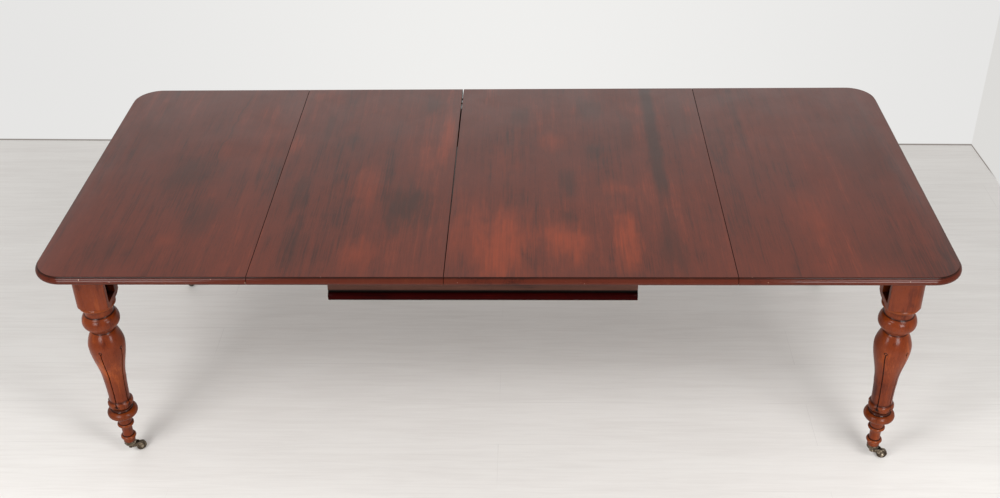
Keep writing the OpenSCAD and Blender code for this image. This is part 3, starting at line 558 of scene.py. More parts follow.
mouldingAlongX = woodMaterial("mouldingAlongX", mouldingLook, "x", (2.0, 6.0, 1.0), recess=True)
mouldingAlongY = woodMaterial("mouldingAlongY", mouldingLook, "y", (9.0, 3.0, 2.0), recess=True)
platesAlongX = woodMaterial("stainedPlates", frameLook, "x", (7.0, 4.0, 2.0))
bareAlongX = woodMaterial("bearerAlongX", bareLook, "x", (5.0, 1.0, 7.0))
bareAlongY = woodMaterial("bearerAlongY", bareLook, "y", (8.0, 3.0, 5.0))
brassFinish = metalMaterial("agedBrass", brassLook)
wheelFinish = metalMaterial("wheelBrass", dict(
    brassLook, base=(0.1, 0.078, 0.056, 1), bright=(0.34, 0.28, 0.2, 1)))
rivetFinish = metalMaterial("rubbedBrass", dict(
    brassLook, deep=(0.2, 0.16, 0.11, 1), base=(0.5, 0.43, 0.33, 1), bright=(0.75, 0.68, 0.56, 1),
    dull=0.3, shiny=0.18))
steelFinish = steelMaterial("dullSteel", (0.12, 0.1, 0.085, 1), (0.32, 0.31, 0.3, 1))
print("finishes ready")

# tabletop boards

board = {
    "quirkIn": 0.008,      # the raised surface stays this far inside the nose
    "quirkDrop": 0.0025,   # crown of the moulding below the surface
    "lowRadius": 0.009,    # lower round
    "ease": 0.0006,        # softened arris of the raised surface
    "seamEase": 0.0008,    # softened arris at a seam
    "lipWidth": 0.0006, "lipRise": 0.0005, "lipDrop": 0.0001,    # the small turn at the step's foot
    "cornerRadius": 0.088,
    "cornerSteps": 40, "edgeSteps": 60, "crownSteps": 14, "lowSteps": 9,
    "handWork": 0.00022,   # how unevenly the edge was planed and worn
    "shadeAndDirt": {"grime": 0.95, "quirk": 0.6, "under": 0.45},    # how dark each part of the edge is painted: painted shade in the quirk and on the crown beside it, painted shade and dirt on the underside
    "seamDirt": {"end": 0.6, "face": 1, "arris": 0.85},
}


def edgeSection():
    # from the top surface to the underside: distance in from the nose, height, kind of face that follows
    thick = tableTop - boardUnder
    inside, low, ease = board["quirkIn"], board["lowRadius"], board["ease"]
    crown = thick - board["quirkDrop"] - low
    startAngle = math.degrees(math.acos((crown - inside) / crown))
    floor = onCircle(crown, startAngle, up=low)[1]
    # the faces stepping down into the quirk are painted shade
    section = [(*onCircle(ease, 90 + 30 * i, inside + ease, thick - ease), "worn" if i < 3 else "grime")
               for i in range(4)]
    section += [(inside, floor + board["lipRise"], "grime"),
                (inside - board["lipWidth"], floor - board["lipDrop"], "worn")]
    # the crown's first faces beside the quirk are painted shade
    for i in range(1, board["crownSteps"] + 1):
        a = 180 - startAngle * (1 - i / board["crownSteps"])
        section.append((*onCircle(crown, a, crown, low), "quirk" if i < 3 else "worn"))
    # the lower round is painted shade and dirt
    for i in range(1, board["lowSteps"] + 1):
        a = 180 + 90 * i / board["lowSteps"]
        section.append((*onCircle(low, a, low, low), "worn" if i < 2 else "under"))
    return section


def straightPath(start, end, outward):
    steps = board["edgeSteps"]
    return [(Vector(start).lerp(Vector(end), i / steps), Vector(outward)) for i in range(steps + 1)]


def cornerPath(centre, side, fromAngle):
    path = []
    for i in range(1, board["cornerSteps"]):
        a = math.radians(fromAngle + 90 * i / board["cornerSteps"])
        out = Vector((side * math.cos(a), math.sin(a)))
        path.append((Vector(centre) + out * board["cornerRadius"], out))
    return path


def endOutline(seamX, endX):
    # from the seam along the front edge, round the end and back along the rear edge
    side = 1 if endX > seamX else -1
    turnX, turnY = endX - side * board["cornerRadius"], halfWidth - board["cornerRadius"]
    return (straightPath((seamX, -halfWidth), (turnX, -halfWidth), (0, -1))
            + cornerPath((turnX, -turnY), side, -90)
            + straightPath((endX, -turnY), (endX, turnY), (side, 0))
            + cornerPath((turnX, turnY), side, 0)
            + straightPath((turnX, halfWidth), (seamX, halfWidth), (0, 1)))


def addSection(points, place, outward, section, shrink):
    # one cross-section of the edge; shrink pulls it in to soften the arris at a seam
    wobble = noise.noise(Vector((place.x * 9, place.y * 9, 3.3))) * board["handWork"]
    middle = boardUnder + (tableTop - boardUnder) / 2
    for inward, height, kind in section:
        z = boardUnder + height
        z += shrink if z < middle else -shrink
        sway = wobble * smoothStep(0.008, 0.0, inward)
        p = place - outward * (inward + shrink + abs(sway))
        points.append(Vector((p.x, p.y, z)))


def easedPath(path):
    # each end of a run gets two sections, a short way apart, the outer one pulled in
    soft = board["seamEase"]
    (first, second), (last, nextLast) = (path[0], path[1]), (path[-1], path[-2])
    step = (second[0] - first[0]).normalized() * soft
    back = (nextLast[0] - last[0]).normalized() * soft
    inner = [((first[0] + step, first[1]), 0)] + [(sample, 0) for sample in path[1:-1]]
    return [(first, soft)] + inner + [((last[0] + back, last[1]), 0), (last, soft)]


def boardPiece(name, runs, material):
    # runs are the moulded edges; each run's first and last section lie in a seam's plane
    section = edgeSection()
    columns = len(section)
    seamDirt = board["seamDirt"]
    points, faces, marks, rings = [], [], [], []
    for path in runs:
        ring = []
        for (place, outward), shrink in easedPath(path):
            ring.append(len(points))
            addSection(points, place, outward, section, shrink)
        rings.append(ring)
        for i in range(len(ring) - 1):
            atSeam = i in (0, len(ring) - 2)
            for j in range(columns - 1):
                a, b = ring[i] + j, ring[i + 1] + j
                kind = section[j][2]
                faces.append((a, b, b + 1, a + 1))
                marks.append((seamDirt["end"] if atSeam else board["shadeAndDirt"].get(kind, 0), kind == "worn"))
    # seam faces, their softened arrises and the two broad surfaces
    under = columns - 1
    for ring, other in zip(rings, rings[-1:] + rings[:-1]):
        a, aNext, b, bNext = ring[0], ring[1], other[-1], other[-2]
        faces.append(tuple([a + j for j in range(columns)] + [b + j for j in reversed(range(columns))]))
        faces.append((a, b, bNext, aNext))
        faces.append((a + under, b + under, bNext + under, aNext + under))
        marks += [(seamDirt["face"], 0), (seamDirt["arris"], 0), (0, 0)]
    topLoop = [i for ring in rings for i in ring[1:-1]]
    underLoop = [i + under for i in topLoop]
    faces += [tuple(topLoop), tuple(underLoop)]
    marks += [(0, 0), (0, 0)]
    piece = newPiece(name, points, faces, material, 30, weld=False, domain="FACE",
                     grime=[m[0] for m in marks], worn=[m[1] for m in marks])
    piece.data.materials.append(noseFinish)
    piece.data.materials.append(underFinish)
    finishOf = {tuple(sorted(topLoop)): 0, tuple(sorted(underLoop)): 2}
    for polygon in piece.data.polygons:
        polygon.material_index = finishOf.get(tuple(sorted(polygon.vertices)), 1)
    return piece


def leafPiece(name, node, gapAtHigh, material):
    # the leaf's edge at the gap between the leaves runs a little askew, wide at the back
    low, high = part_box(node)
    places = [v.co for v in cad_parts[node].data.vertices]
    middleX = (low.x + high.x) / 2

    def gapEdge(side):
        near = [c.x for c in places if side * c.y > halfWidth - 0.012 and (c.x > middleX) == gapAtHigh]
        return sum(near) / len(near)

    front, back = gapEdge(-1), gapEdge(1)
    gapX = (front + back) / 2
    lowX, highX = (low.x, gapX) if gapAtHigh else (gapX, high.x)
    piece = boardPiece(name, [straightPath((lowX, -halfWidth), (highX, -halfWidth), (0, -1)),
                              straightPath((highX, halfWidth), (lowX, halfWidth), (0, 1))], material)
    for v in piece.data.vertices:
        if abs(v.co.x - gapX) < 0.0025:
            v.co.x += (back - front) / 2 * v.co.y / halfWidth
    return piece


leftBoard = boardPiece("leftBoard", [endOutline(leftTop[1].x, leftTop[0].x)], boardFinishes["left"])
rightBoard = boardPiece("rightBoard", [endOutline(rightTop[0].x, rightTop[1].x)], boardFinishes["right"])
handOver([leftBoard], "left_top", "left_end")
handOver([rightBoard], "right_top", "right_end")
narrowLeaf = leafPiece("narrowLeaf", "leaf_narrow", True, boardFinishes["narrow"])
wideLeaf = leafPiece("wideLeaf", "leaf_wide", False, boardFinishes["wide"])
handOver([narrowLeaf], "leaf_narrow", "narrow_leaf")
handOver([wideLeaf], "leaf_wide", "wide_leaf")
print("tabletop boards made")

# turned legs

leg = {
    "blockWidth": 0.096, "blockTop": 0.706, "blockBottom": 0.566, "outerCorner": 0.032, "arris": 0.0012,
    "shoulderRadius": 0.0485, "shoulderRise": 0.024, "shoulderSpread": 0.0235,
    "planStep": 0.003, "riseStep": 0.0012, "riseSteps": 22,
    "rimRadius": 0.0505, "rimHeight": 0.5606, "rimSection": 0.006,
    "coveRadius": 0.0385, "coveHeight": 0.541,
    "ringRadius": 0.0515, "ringHeight": 0.504, "ringIn": 0.0175, "ringUp": 0.0275, "ringLow": 0.021,
    "neckRadius": 0.031, "neckHeight": 0.4785,
    "bulbRadius": 0.0504, "bulbHeight": 0.421,
    "taperRadius": 0.0322, "taperHeight": 0.294,
    "ankleRadius": 0.0292, "ankleHeight": 0.223,
    "lobeRadius": 0.0362, "lobeHeight": 0.2045,
    "waistRadius": 0.030, "waistHeight": 0.1925,
    "knopRadius": 0.0432, "knopHeight": 0.168, "knopSection": 0.013,
    "throatRadius": 0.0186,
    "beadRadius": 0.024, "beadHeight": 0.1195, "beadSection": 0.005,
    "shaftRadius": 0.0154,
    "footRadius": 0.0222, "footHeight": 0.071, "footSection": 0.006,
    "soleRadius": 0.016, "soleHeight": 0.052,
    "flutes": 5, "fluteWidth": 0.0026, "fluteDepth": 0.0030,
    "eyeRadius": 0.0039, "eyeWidth": 0.0020, "eyeDepth": 0.0022, "eyeDrop": 0.004,
    # the last value sets how dark concave coves are painted, as shade and grime
    "ridgeBend": 0.0006, "hollowBend": (0.00003, 0.0007), "hollowShadeAndGrime": 0.95,
    "step": 0.0014, "fluteTurn": {"left": -94, "right": -125},
    "slotDepth": 0.022, "slotWidth": 0.054, "slotCheek": 0.014, "slotBottom": 0.584,
}


def bezierRun(p, count):
    run = []
    for i in range(count + 1):
        t = i / count
        s = 1 - t
        run.append(tuple(s * s * s * p[0][k] + 3 * s * s * t * p[1][k] + 3 * s * t * t * p[2][k]
                         + t * t * t * p[3][k] for k in (0, 1)))
    return run


def legProfile():
    # radius and height from the block down to the sole
    k = SimpleNamespace(**leg)
    inner = k.rimRadius - k.rimSection
    run = [(inner - 0.002, k.rimHeight + 0.012), (inner - 0.001, k.rimHeight + 0.0065)]

    def curve(count, *handles):
        # from the last point on, by two handles to a new point
        run.extend(bezierRun((run[-1], *handles), count))

    def bead(name, count):
        # half round bead, from its upper end to its lower one
        radius, height, section = (leg[name + part] for part in ("Radius", "Height", "Section"))
        for i in range(count + 1):
            run.append(onCircle(section, 90 - 180 * i / count, radius - section, height))

    bead("rim", 14)
    curve(10, (k.coveRadius + 0.002, k.rimHeight - 0.0075), (k.coveRadius, k.coveHeight + 0.006),
          (k.coveRadius, k.coveHeight))
    curve(8, (k.coveRadius, k.coveHeight - 0.005), (k.coveRadius, k.coveHeight - 0.0082),
          (k.coveRadius + 0.0015, k.ringHeight + k.ringUp * math.sin(math.radians(70))))
    for i in range(31):
        a = math.radians(70 - 160 * i / 30)
        tall = k.ringUp if a > 0 else k.ringLow
        run.append((k.ringRadius - k.ringIn * (1 - math.cos(a)), k.ringHeight + tall * math.sin(a)))
    curve(10, (k.neckRadius, k.ringHeight - k.ringLow - 0.001), (k.neckRadius, k.neckHeight - 0.0035),
          (k.neckRadius + 0.002, k.neckHeight - 0.008))
    curve(36, (k.neckRadius + 0.006, k.neckHeight - 0.0095), (k.bulbRadius, k.bulbHeight + 0.017),
          (k.bulbRadius, k.bulbHeight))
    curve(60, (k.bulbRadius, k.bulbHeight - 0.043), (k.taperRadius, k.taperHeight + 0.046),
          (k.taperRadius, k.taperHeight))
    curve(24, (k.taperRadius - 0.002, k.taperHeight - 0.020), (k.ankleRadius, k.ankleHeight + 0.022),
          (k.ankleRadius, k.ankleHeight))
    curve(24, (k.ankleRadius, k.lobeHeight + 0.0075), (k.lobeRadius, k.lobeHeight + 0.0125),
          (k.lobeRadius, k.lobeHeight))
    curve(12, (k.lobeRadius, k.lobeHeight - 0.0065), (k.waistRadius + 0.003, k.waistHeight + 0.001),
          (k.waistRadius, k.waistHeight))
    curve(10, (k.waistRadius - 0.003, k.waistHeight - 0.0035),
          (k.waistRadius - 0.003, k.waistHeight - 0.0075),
          (k.knopRadius - k.knopSection, k.knopHeight + k.knopSection))
    bead("knop", 28)
    under = k.knopHeight - k.knopSection
    curve(12, (k.throatRadius + 0.004, under - 0.0005), (k.throatRadius, under - 0.003),
          (k.throatRadius, k.knopHeight - 0.029))
    beadInner, beadTop = k.beadRadius - k.beadSection, k.beadHeight + k.beadSection
    curve(8, (k.throatRadius, k.beadHeight + 0.010), (beadInner, beadTop + 0.003), (beadInner, beadTop))
    bead("bead", 16)
    curve(12, (k.shaftRadius + 0.001, k.beadHeight - 0.012), (k.shaftRadius, k.beadHeight - 0.016),
          (k.shaftRadius, k.beadHeight - 0.024))
    curve(10, (k.shaftRadius, k.footHeight + 0.017), (k.shaftRadius, k.footHeight + 0.010),
          (k.footRadius - k.footSection, k.footHeight + k.footSection))
    bead("foot", 16)
    curve(8, (k.soleRadius + 0.002, k.footHeight - 0.0085), (k.soleRadius + 0.002, k.footHeight - 0.013),
          (k.soleRadius, k.soleHeight))
    return run


def spacedProfile(run, step):
    # equal steps along the outline, so that the carving has even faces to lie on
    clean = [run[0]]
    for p in run[1:]:
        if math.dist(p, clean[-1]) > 1e-5:
            clean.append(p)
    lengths = [0.0]
    for a, b in zip(clean, clean[1:]):
        lengths.append(lengths[-1] + math.dist(a, b))
    count = int(lengths[-1] / step)
    spaced, j = [], 0
    for i in range(count + 1):
        want = lengths[-1] * i / count
        while j < len(lengths) - 2 and lengths[j + 1] < want:
            j += 1
        t = (want - lengths[j]) / max(lengths[j + 1] - lengths[j], 1e-9)
        a, b = clean[j], clean[j + 1]
        spaced.append((a[0] + (b[0] - a[0]) * t, a[1] + (b[1] - a[1]) * t))
    return spaced


def carving(radius, height, turn):
    # depth to cut at this place and how dark the cut is painted, as shade and grime; turn is the angle from
    # the nearest flute
    k = SimpleNamespace(**leg)
    if height > k.bulbHeight + 0.004 or height < k.waistHeight:
        return 0.0, 0.0
    across = abs(turn) * radius
    eyeHeight = k.bulbHeight - k.eyeDrop
    eyeEnd = eyeHeight - k.eyeRadius
    toe = smoothStep(k.lobeHeight + 0.014, k.lobeHeight - 0.002, height)
    fade = smoothStep(k.waistHeight, k.waistHeight + 0.003, height)
    half = k.fluteWidth / 2 * (1 + 0.5 * toe)
    below = smoothStep(eyeEnd + 0.0008, eyeEnd - 0.0008, height)
    groove = (1 - smoothStep(half * 0.6, half * 1.3, across)) * fade * below
    reach = math.hypot(across, height - eyeHeight)
    ring = 1 - smoothStep(k.eyeWidth * 0.4, k.eyeWidth * 0.9, abs(reach - k.eyeRadius))
    # between two lobes the outline falls back to the ankle, which leaves a rounded toe on each petal
    notch = (1 - smoothStep(half * 0.5, half + 0.009 * toe + 0.0005, across)) * toe
    back = max(radius - k.ankleRadius, 0) * notch
    depth = max(groove * k.fluteDepth, ring * k.eyeDepth) * (1 - 0.5 * toe) + back
    return depth, min(max(groove, ring * 0.9, notch ** 2 * fade), 1)


def turningAngles(count, start):
    # angles round the leg, close together at each flute
    step = 360 / count
    fine = [-11, -9, -7.5, -6.2, -5.2, -4.4, -3.7, -3.1, -2.6, -2.1, -1.7, -1.3, -0.9, -0.45, 0]
    fine += [-a for a in reversed(fine[:-1])]
    gap = step - 2 * fine[-1]
    wide = int(gap / 3.4)
    offsets = fine + [fine[-1] + gap * i / (wide + 1) for i in range(1, wide + 1)]
    return [math.radians(start + step * n + a) for n in range(count) for a in offsets]


def turnedPiece(name, axis, firstFlute):
    run = spacedProfile(legProfile(), leg["step"])
    angles = turningAngles(leg["flutes"], firstFlute)
    pitch = 2 * math.pi / leg["flutes"]
    first = math.radians(firstFlute)
    points, recess, ridge = [], [], []
    for row, (radius, height) in enumerate(run):
        before, after = run[max(row - 2, 0)], run[min(row + 2, len(run) - 1)]
        slope = Vector((after[0] - before[0], after[1] - before[1])).normalized()
        outR, outZ = -slope.y, slope.x
        hollow = (before[0] + after[0]) / 2 - radius, (before[1] + after[1]) / 2 - height
        bend = hollow[0] * outR + hollow[1] * outZ
        swell = smoothStep(0.0, leg["ridgeBend"], -bend)
        # concave coves are painted dark, as shade and grime
        sink = smoothStep(*leg["hollowBend"], bend) * leg["hollowShadeAndGrime"]
        for a in angles:
            turn = (a - first + pitch / 2) % pitch - pitch / 2
            depth, dark = carving(radius, height, turn)
            r = radius - depth * outR
            points.append(Vector((axis.x + r * math.cos(a), axis.y + r * math.sin(a), height - depth * outZ)))
            recess.append(min(max(dark, sink), 1.0))
            ridge.append(swell)
    n = len(angles)
    faces = gridFaces(len(run), n)
    top, last = len(points), (len(run) - 1) * n
    points += [Vector((axis.x, axis.y, run[row][1])) for row in (0, -1)]
    for c in range(n):
        d = (c + 1) % n
        faces += [(top, d, c), (top + 1, last + c, last + d)]
    return newPiece(name, points, faces, legFinish, 50, weld=False,
                    recess=recess + [0, 0], ridge=ridge + [0, 0])


def blockOutline():
    # plan of the square block about the leg's axis, its round corner to the table's outside
    half = leg["blockWidth"] / 2
    sharp, blunt = leg["arris"], leg["outerCorner"]
    points = []
    for x, y, r, start, steps in ((-1, -1, sharp, 180, 4), (1, -1, sharp, 270, 4), (1, 1, sharp, 0, 4),
                                  (-1, 1, blunt, 90, 14)):
        centre = Vector((x * (half - r), y * (half - r)))
        points += [centre + Vector(onCircle(1, start + 90 * i / steps)) * r for i in range(steps + 1)]
    return points


def blockMesh():
    # drawn about the axis with +x to the table's middle and +y to its long edge
    k = SimpleNamespace(**leg)
    plan = blockOutline()
    dense = []
    for a, b in zip(plan, plan[1:] + plan[:1]):
        steps = max(int((b - a).length / k.planStep), 1)
        dense += [a.lerp(b, i / steps) for i in range(steps)]
    heights = [k.blockBottom + k.riseStep * i for i in range(k.riseSteps)]
    heights += [0.5 * (heights[-1] + k.blockTop), k.blockTop]
    points = []
    for z in heights:
        # the shoulders round in to a circle below the block
        t = min((z - k.blockBottom) / k.shoulderRise, 1)
        limit = k.shoulderRadius + k.shoulderSpread * math.sqrt(max(1 - (1 - t) ** 2, 0))
        for p in dense:
            reach = p.length
            q = p * ((reach if t >= 1 else min(reach, limit)) / reach)
            points.append(Vector((q.x, q.y, z)))
    block = newPiece("blockDrawing", points, cappedFaces(len(heights), len(dense)), legFinish, 30)
    # the slot behind the cheek takes the apron's end when the table is closed
    half, over = k.blockWidth / 2, 0.01
    cutBox(block, (half - k.slotDepth, half - k.slotCheek - k.slotWidth, k.slotBottom),
           (half + over, half - k.slotCheek, k.blockTop + over))
    mesh = block.data
    bpy.data.objects.remove(block)
    return mesh


def legPieces(side, end):
    axis = legAxis(side, end)
    ending = side + "_" + end
    inX, outY = -ends[end], sides[side]
    turning = turnedPiece("turning_" + ending, axis, leg["fluteTurn"][end] * (1 if side == "front" else -1))
    mesh = blockDrawing.copy()
    half, hair = leg["blockWidth"] / 2, 0.001
    slotX, slotY = half - leg["slotDepth"], half - leg["slotCheek"]
    # the slot's faces are painted dark as its shadow
    shade = []
    for v in mesh.vertices:
        x, y, z = v.co
        inSlot = slotX - hair < x < half - hair and z > leg["slotBottom"] - hair
        shade.append(1.0 if inSlot and slotY - leg["slotWidth"] - hair < y < slotY + hair else 0.0)
        v.co = (axis.x + inX * x, axis.y + outY * y, z)
    paint(mesh, "recess", shade)
    turnFacesOut(mesh)
    block = placeMesh("block_" + ending, mesh, legFinish, 30)
    handOver([turning, block], "leg_" + ending, end + "_end")


blockDrawing = blockMesh()
for side, end in corners:
    legPieces(side, end)
print("legs turned and fluted")

# aprons, end rails and their mouldings

rail = {"soft": 0.0009, "quirkBottom": 0.025, "quirkHeight": 0.004, "quirkDepth": 0.004,
        "handWork": 0.00025, "step": 0.02, "bulgeSteps": 24, "bulgeFullness": 0.8}


def softened(outline, radius):
    # each corner replaced by a small arc of four points
    result = []
    n = len(outline)
    for i in range(n):
        here = Vector(outline[i])
        before = Vector(outline[i - 1]) - here
        after = Vector(outline[(i + 1) % n]) - here
        r = min(radius, before.length / 3, after.length / 3)
        start, end = here + before.normalized() * r, here + after.normalized() * r
        for t in (0, 1 / 3, 2 / 3, 1):
            result.append(start.lerp(here, t).lerp(here.lerp(end, t), t))
    return result


def sweepPiece(name, section, low, high, place, material, hollow):
    # the section (distance out, height) is carried from low to high; hollow marks the points painted dark as
    # shade
    steps = max(int((high - low) / rail["step"]), 2)
    stops = [low, low + rail["soft"]] + [low + (high - low) * i / steps for i in range(1, steps)]
    stops += [high - rail["soft"], high]
    middle = sum((Vector(p) for p in section), Vector((0, 0))) / len(section)
    points, recess = [], []
    for k, stop in enumerate(stops):
        for p in section:
            q = Vector(p)
            if k in (0, len(stops) - 1):
                q += (middle - q).normalized() * rail["soft"]
            sway = noise.noise(Vector((stop * 6, q.x * 40, q.y * 40))) * rail["handWork"]
            points.append(place(stop, q.x + sway * 0.5, q.y))
            recess.append(1.0 if hollow(q) else 0.0)
    return newPiece(name, points, cappedFaces(len(stops), len(section)), material,
                    recess=recess, ridge=[0.0] * len(points))


def railPieces(railNode, mouldNode, body, long, boardFinish, mouldFinish):
    # long is the number of the axis that the rail runs along
    low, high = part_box(railNode)
    mouldLow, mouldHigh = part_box(mouldNode)
    across = 1 - long
    out = 1 if low[across] + high[across] > 0 else -1
    back, face = sorted((out * low[across], out * high[across]))
    reach = max(out * mouldLow[across], out * mouldHigh[across])
    bottom, top = low.z, high.z
    q0 = bottom + rail["quirkBottom"]
    q1 = q0 + rail["quirkHeight"]
    deep = face - rail["quirkDepth"]

    def place(along, outward, height):
        spot = Vector((out * outward, out * outward, height))
        spot[long] = along
        return spot

    section = softened([
        (face, top), (back, top), (back, bottom), (face, bottom), (face, q0 - 0.003), (face, q0),
        (deep, q0), (deep, q1), (face, q1), (face, q1 + 0.006)], rail["soft"])
    # the quirk groove is painted dark as shade
    fine = sweepPiece(railNode + "Fine", section, mouldLow[long], mouldHigh[long], place, boardFinish,
                      lambda q: q.x > deep - 0.001 and q0 - 0.001 < q.y < q1 + 0.001)
    handOver([fine], railNode, body)
    tall = mouldHigh.z - mouldLow.z
    bulge = [(face, bottom + 0.0004), (face, bottom + tall - 0.0004)]
    for i in range(1, rail["bulgeSteps"]):
        a = math.pi * i / rail["bulgeSteps"]
        bulge.append((face + (reach - face) * math.sin(a) ** rail["bulgeFullness"],
                      bottom + tall / 2 + (tall / 2 - 0.0003) * math.cos(a)))
    # the top of the moulding round, where it meets the face, is painted dark as shade
    fine = sweepPiece(mouldNode + "Fine", bulge, mouldLow[long], mouldHigh[long], place, mouldFinish,
                      lambda q: q.x < face + 0.0022 and q.y > bottom + tall / 2)
    handOver([fine], mouldNode, body)


for side in sides:
    railPieces(side + "_apron", side + "_apron_moulding", "centre_frame", 0, frameAlongX, mouldingAlongX)
for end in ends:
    railPieces(end + "_end_rail", end + "_end_moulding", end + "_end", 1, frameAlongY, mouldingAlongY)
print("aprons and end rails made")

# castors

castor = {
    "turns": {("front", "left"): 38, ("front", "right"): 0, ("back", "left"): 152, ("back", "right"): 64},
    "trail": 0.030, "wheelHeight": 0.015, "pinRadius": 0.0035, "pinClear": 0.0001,
    "bossRadius": 0.008, "bossLow": 0.025, "bossHigh": 0.0377,
    "cheekInner": 0.007, "cheekOuter": 0.0096, "cheekRadius": 0.0065,
    "cheekEase": 0.0006, "bridgeEase": 0.0008, "bridgeStart": 0.0045, "bridgeMiddle": 0.0085,
    "bridgeRound": 0.0040, "axleRadius": 0.0024, "rivetRadius": 0.004, "rivetDome": 0.0014,
    "steps": 64, "bossSteps": 48, "axleSteps": 36,
}
# outlines as (radius, height); the wheel's is its upper half
cupRun = ((0.0008, 0.0227), (0.0047, 0.0227), (0.0054, 0.0232), (0.0054, 0.0242), (0.0049, 0.0247),
          (0.0035, 0.0247), (0.0035, 0.0378), (0.0090, 0.0380), (0.0128, 0.0380), (0.0142, 0.0385),
          (0.0147, 0.0396), (0.0144, 0.0407), (0.0151, 0.0413), (0.0164, 0.0420), (0.0169, 0.0432),
          (0.0165, 0.0445), (0.0157, 0.0452), (0.0155, 0.0465), (0.0155, 0.0487), (0.0160, 0.0497),
          (0.0169, 0.0504), (0.0171, 0.0513), (0.0167, 0.0521), (0.0160, 0.0524), (0.0008, 0.0524))
wheelHalf = ((0.0150, 0.0), (0.0150, 0.0034), (0.0146, 0.0051), (0.0137, 0.0061), (0.0124, 0.0065),
             (0.0112, 0.0062), (0.0106, 0.0052), (0.0096, 0.0048), (0.0078, 0.0048), (0.0070, 0.0053),
             (0.0063, 0.0062), (0.0054, 0.0065), (0.0025, 0.0065))


def castorPieces(side, end):
    k = SimpleNamespace(**castor)
    ending = side + "_" + end
    axis = Matrix.Translation(legAxis(side, end))
    spin = axis @ Matrix.Rotation(math.radians(k.turns[(side, end)]), 4, "Z")
    upright = Matrix.Rotation(math.radians(90), 4, "X")
    hub = spin @ Matrix.Translation((k.trail, 0, k.wheelHeight)) @ upright
    cup = lathePiece("cup_" + ending, cupRun, k.steps, axis, brassFinish)
    bore, b, low, high = k.pinRadius + k.pinClear, k.bossRadius, k.bossLow, k.bossHigh
    bossRun = ((bore, high), (b - 0.0012, high), (b - 0.0003, high - 0.0005), (b, high - 0.0014),
               (b - 0.0006, high - 0.0040), (b - 0.0006, low + 0.0030), (b, low + 0.0014),
               (b - 0.0004, low + 0.0004), (b - 0.0014, low), (bore, low))
    horn = [lathePiece("boss_" + ending, bossRun, k.bossSteps, spin, brassFinish, bored=True)]
    r = k.cheekRadius
    outline = bezierRun(((0.003, high - 0.0004), (0.020, high + 0.0003), (0.0285, 0.0320),
                         (k.trail + r * 0.96, k.wheelHeight + r * 0.28)), 14)
    outline += [onCircle(r, a, k.trail, k.wheelHeight) for a in range(8, -131, -9)]
    outline += bezierRun((outline[-1], (0.0215, 0.0150), (0.0165, low - 0.0006),
                          (0.003, low + 0.0004)), 12)[1:]
    cheeks = []
    for name, near, far in (("cheek1_", -k.cheekOuter, -k.cheekInner),
                            ("cheek3_", k.cheekInner, k.cheekOuter)):
        cheeks.append(platePiece(name + ending, outline, near, far, k.cheekEase, spin @ upright,
                                 brassFinish))
    wide = k.cheekOuter - 0.0004
    plan = [(k.bridgeStart, -wide)]
    plan += [(onCircle(k.bridgeRound, a, k.bridgeMiddle)[0], onCircle(wide, a)[1])
             for a in range(-90, 91, 12)]
    plan += [(k.bridgeStart, wide)]
    horn.append(platePiece("bridge_" + ending, plan, low + 0.0006, high - 0.0005, k.bridgeEase, spin,
                           brassFinish))
    axleRun = [(onCircle(k.rivetRadius, a)[0], onCircle(k.rivetDome, a, up=k.cheekOuter + 0.0001)[1])
               for a in range(85, -1, -17)]
    axleRun = mirroredRun(axleRun + [(k.axleRadius, k.cheekOuter)])
    axle = lathePiece("axle_" + ending, axleRun, k.axleSteps, hub, rivetFinish)
    wheel = lathePiece("wheel_" + ending, mirroredRun(wheelHalf), k.steps, hub, wheelFinish, bored=True)
    for pieces, node, body in (([cup], "cup_", end + "_end"), (horn + cheeks, "horn_", "castor_" + ending),
                               ([axle], "axle_", "castor_" + ending), ([wheel], "wheel_", "wheel_" + ending)):
        handOver(pieces, "castor_" + node + ending, body)


for side, end in corners:
    castorPieces(side, end)
print("castors made")

# wood screws, set by geometry nodes

screw = {"head": 0.0044, "shank": 0.0022, "length": 0.046, "slot": 0.0009, "slotDepth": 0.0012,
         "threads": 10, "pitch": 0.0022, "coreShare": 0.72, "threadsFrom": 0.006, "threadsTo": 0.031,
         "tip": 0.004, "tipShare": 0.6, "rim": 0.0006, "steps": 28, "sink": 0.0002, "pairApart": 0.030}


def screwDrawing():
    k = SimpleNamespace(**screw)
    run = [(0.0002, k.length), (k.shank * k.tipShare, k.length - k.tip)]
    for i in range(k.threads):
        z = k.length - k.threadsFrom - k.pitch * i
        run += [(k.shank, z), (k.shank * k.coreShare, z - k.pitch / 2)]
    run += [(k.shank, k.length - k.threadsTo), (k.shank, k.head - k.shank), (k.head - 0.0002, 0.0003),
            (k.head - k.rim, 0.0001), (0.0002, -0.0002)]
    piece = lathePiece("screwDrawing", run, k.steps, Matrix.Identity(4), steelFinish)
    cutBox(piece, (-0.01, -k.slot / 2, -0.002), (0.01, k.slot / 2, k.slotDepth))
    return piece


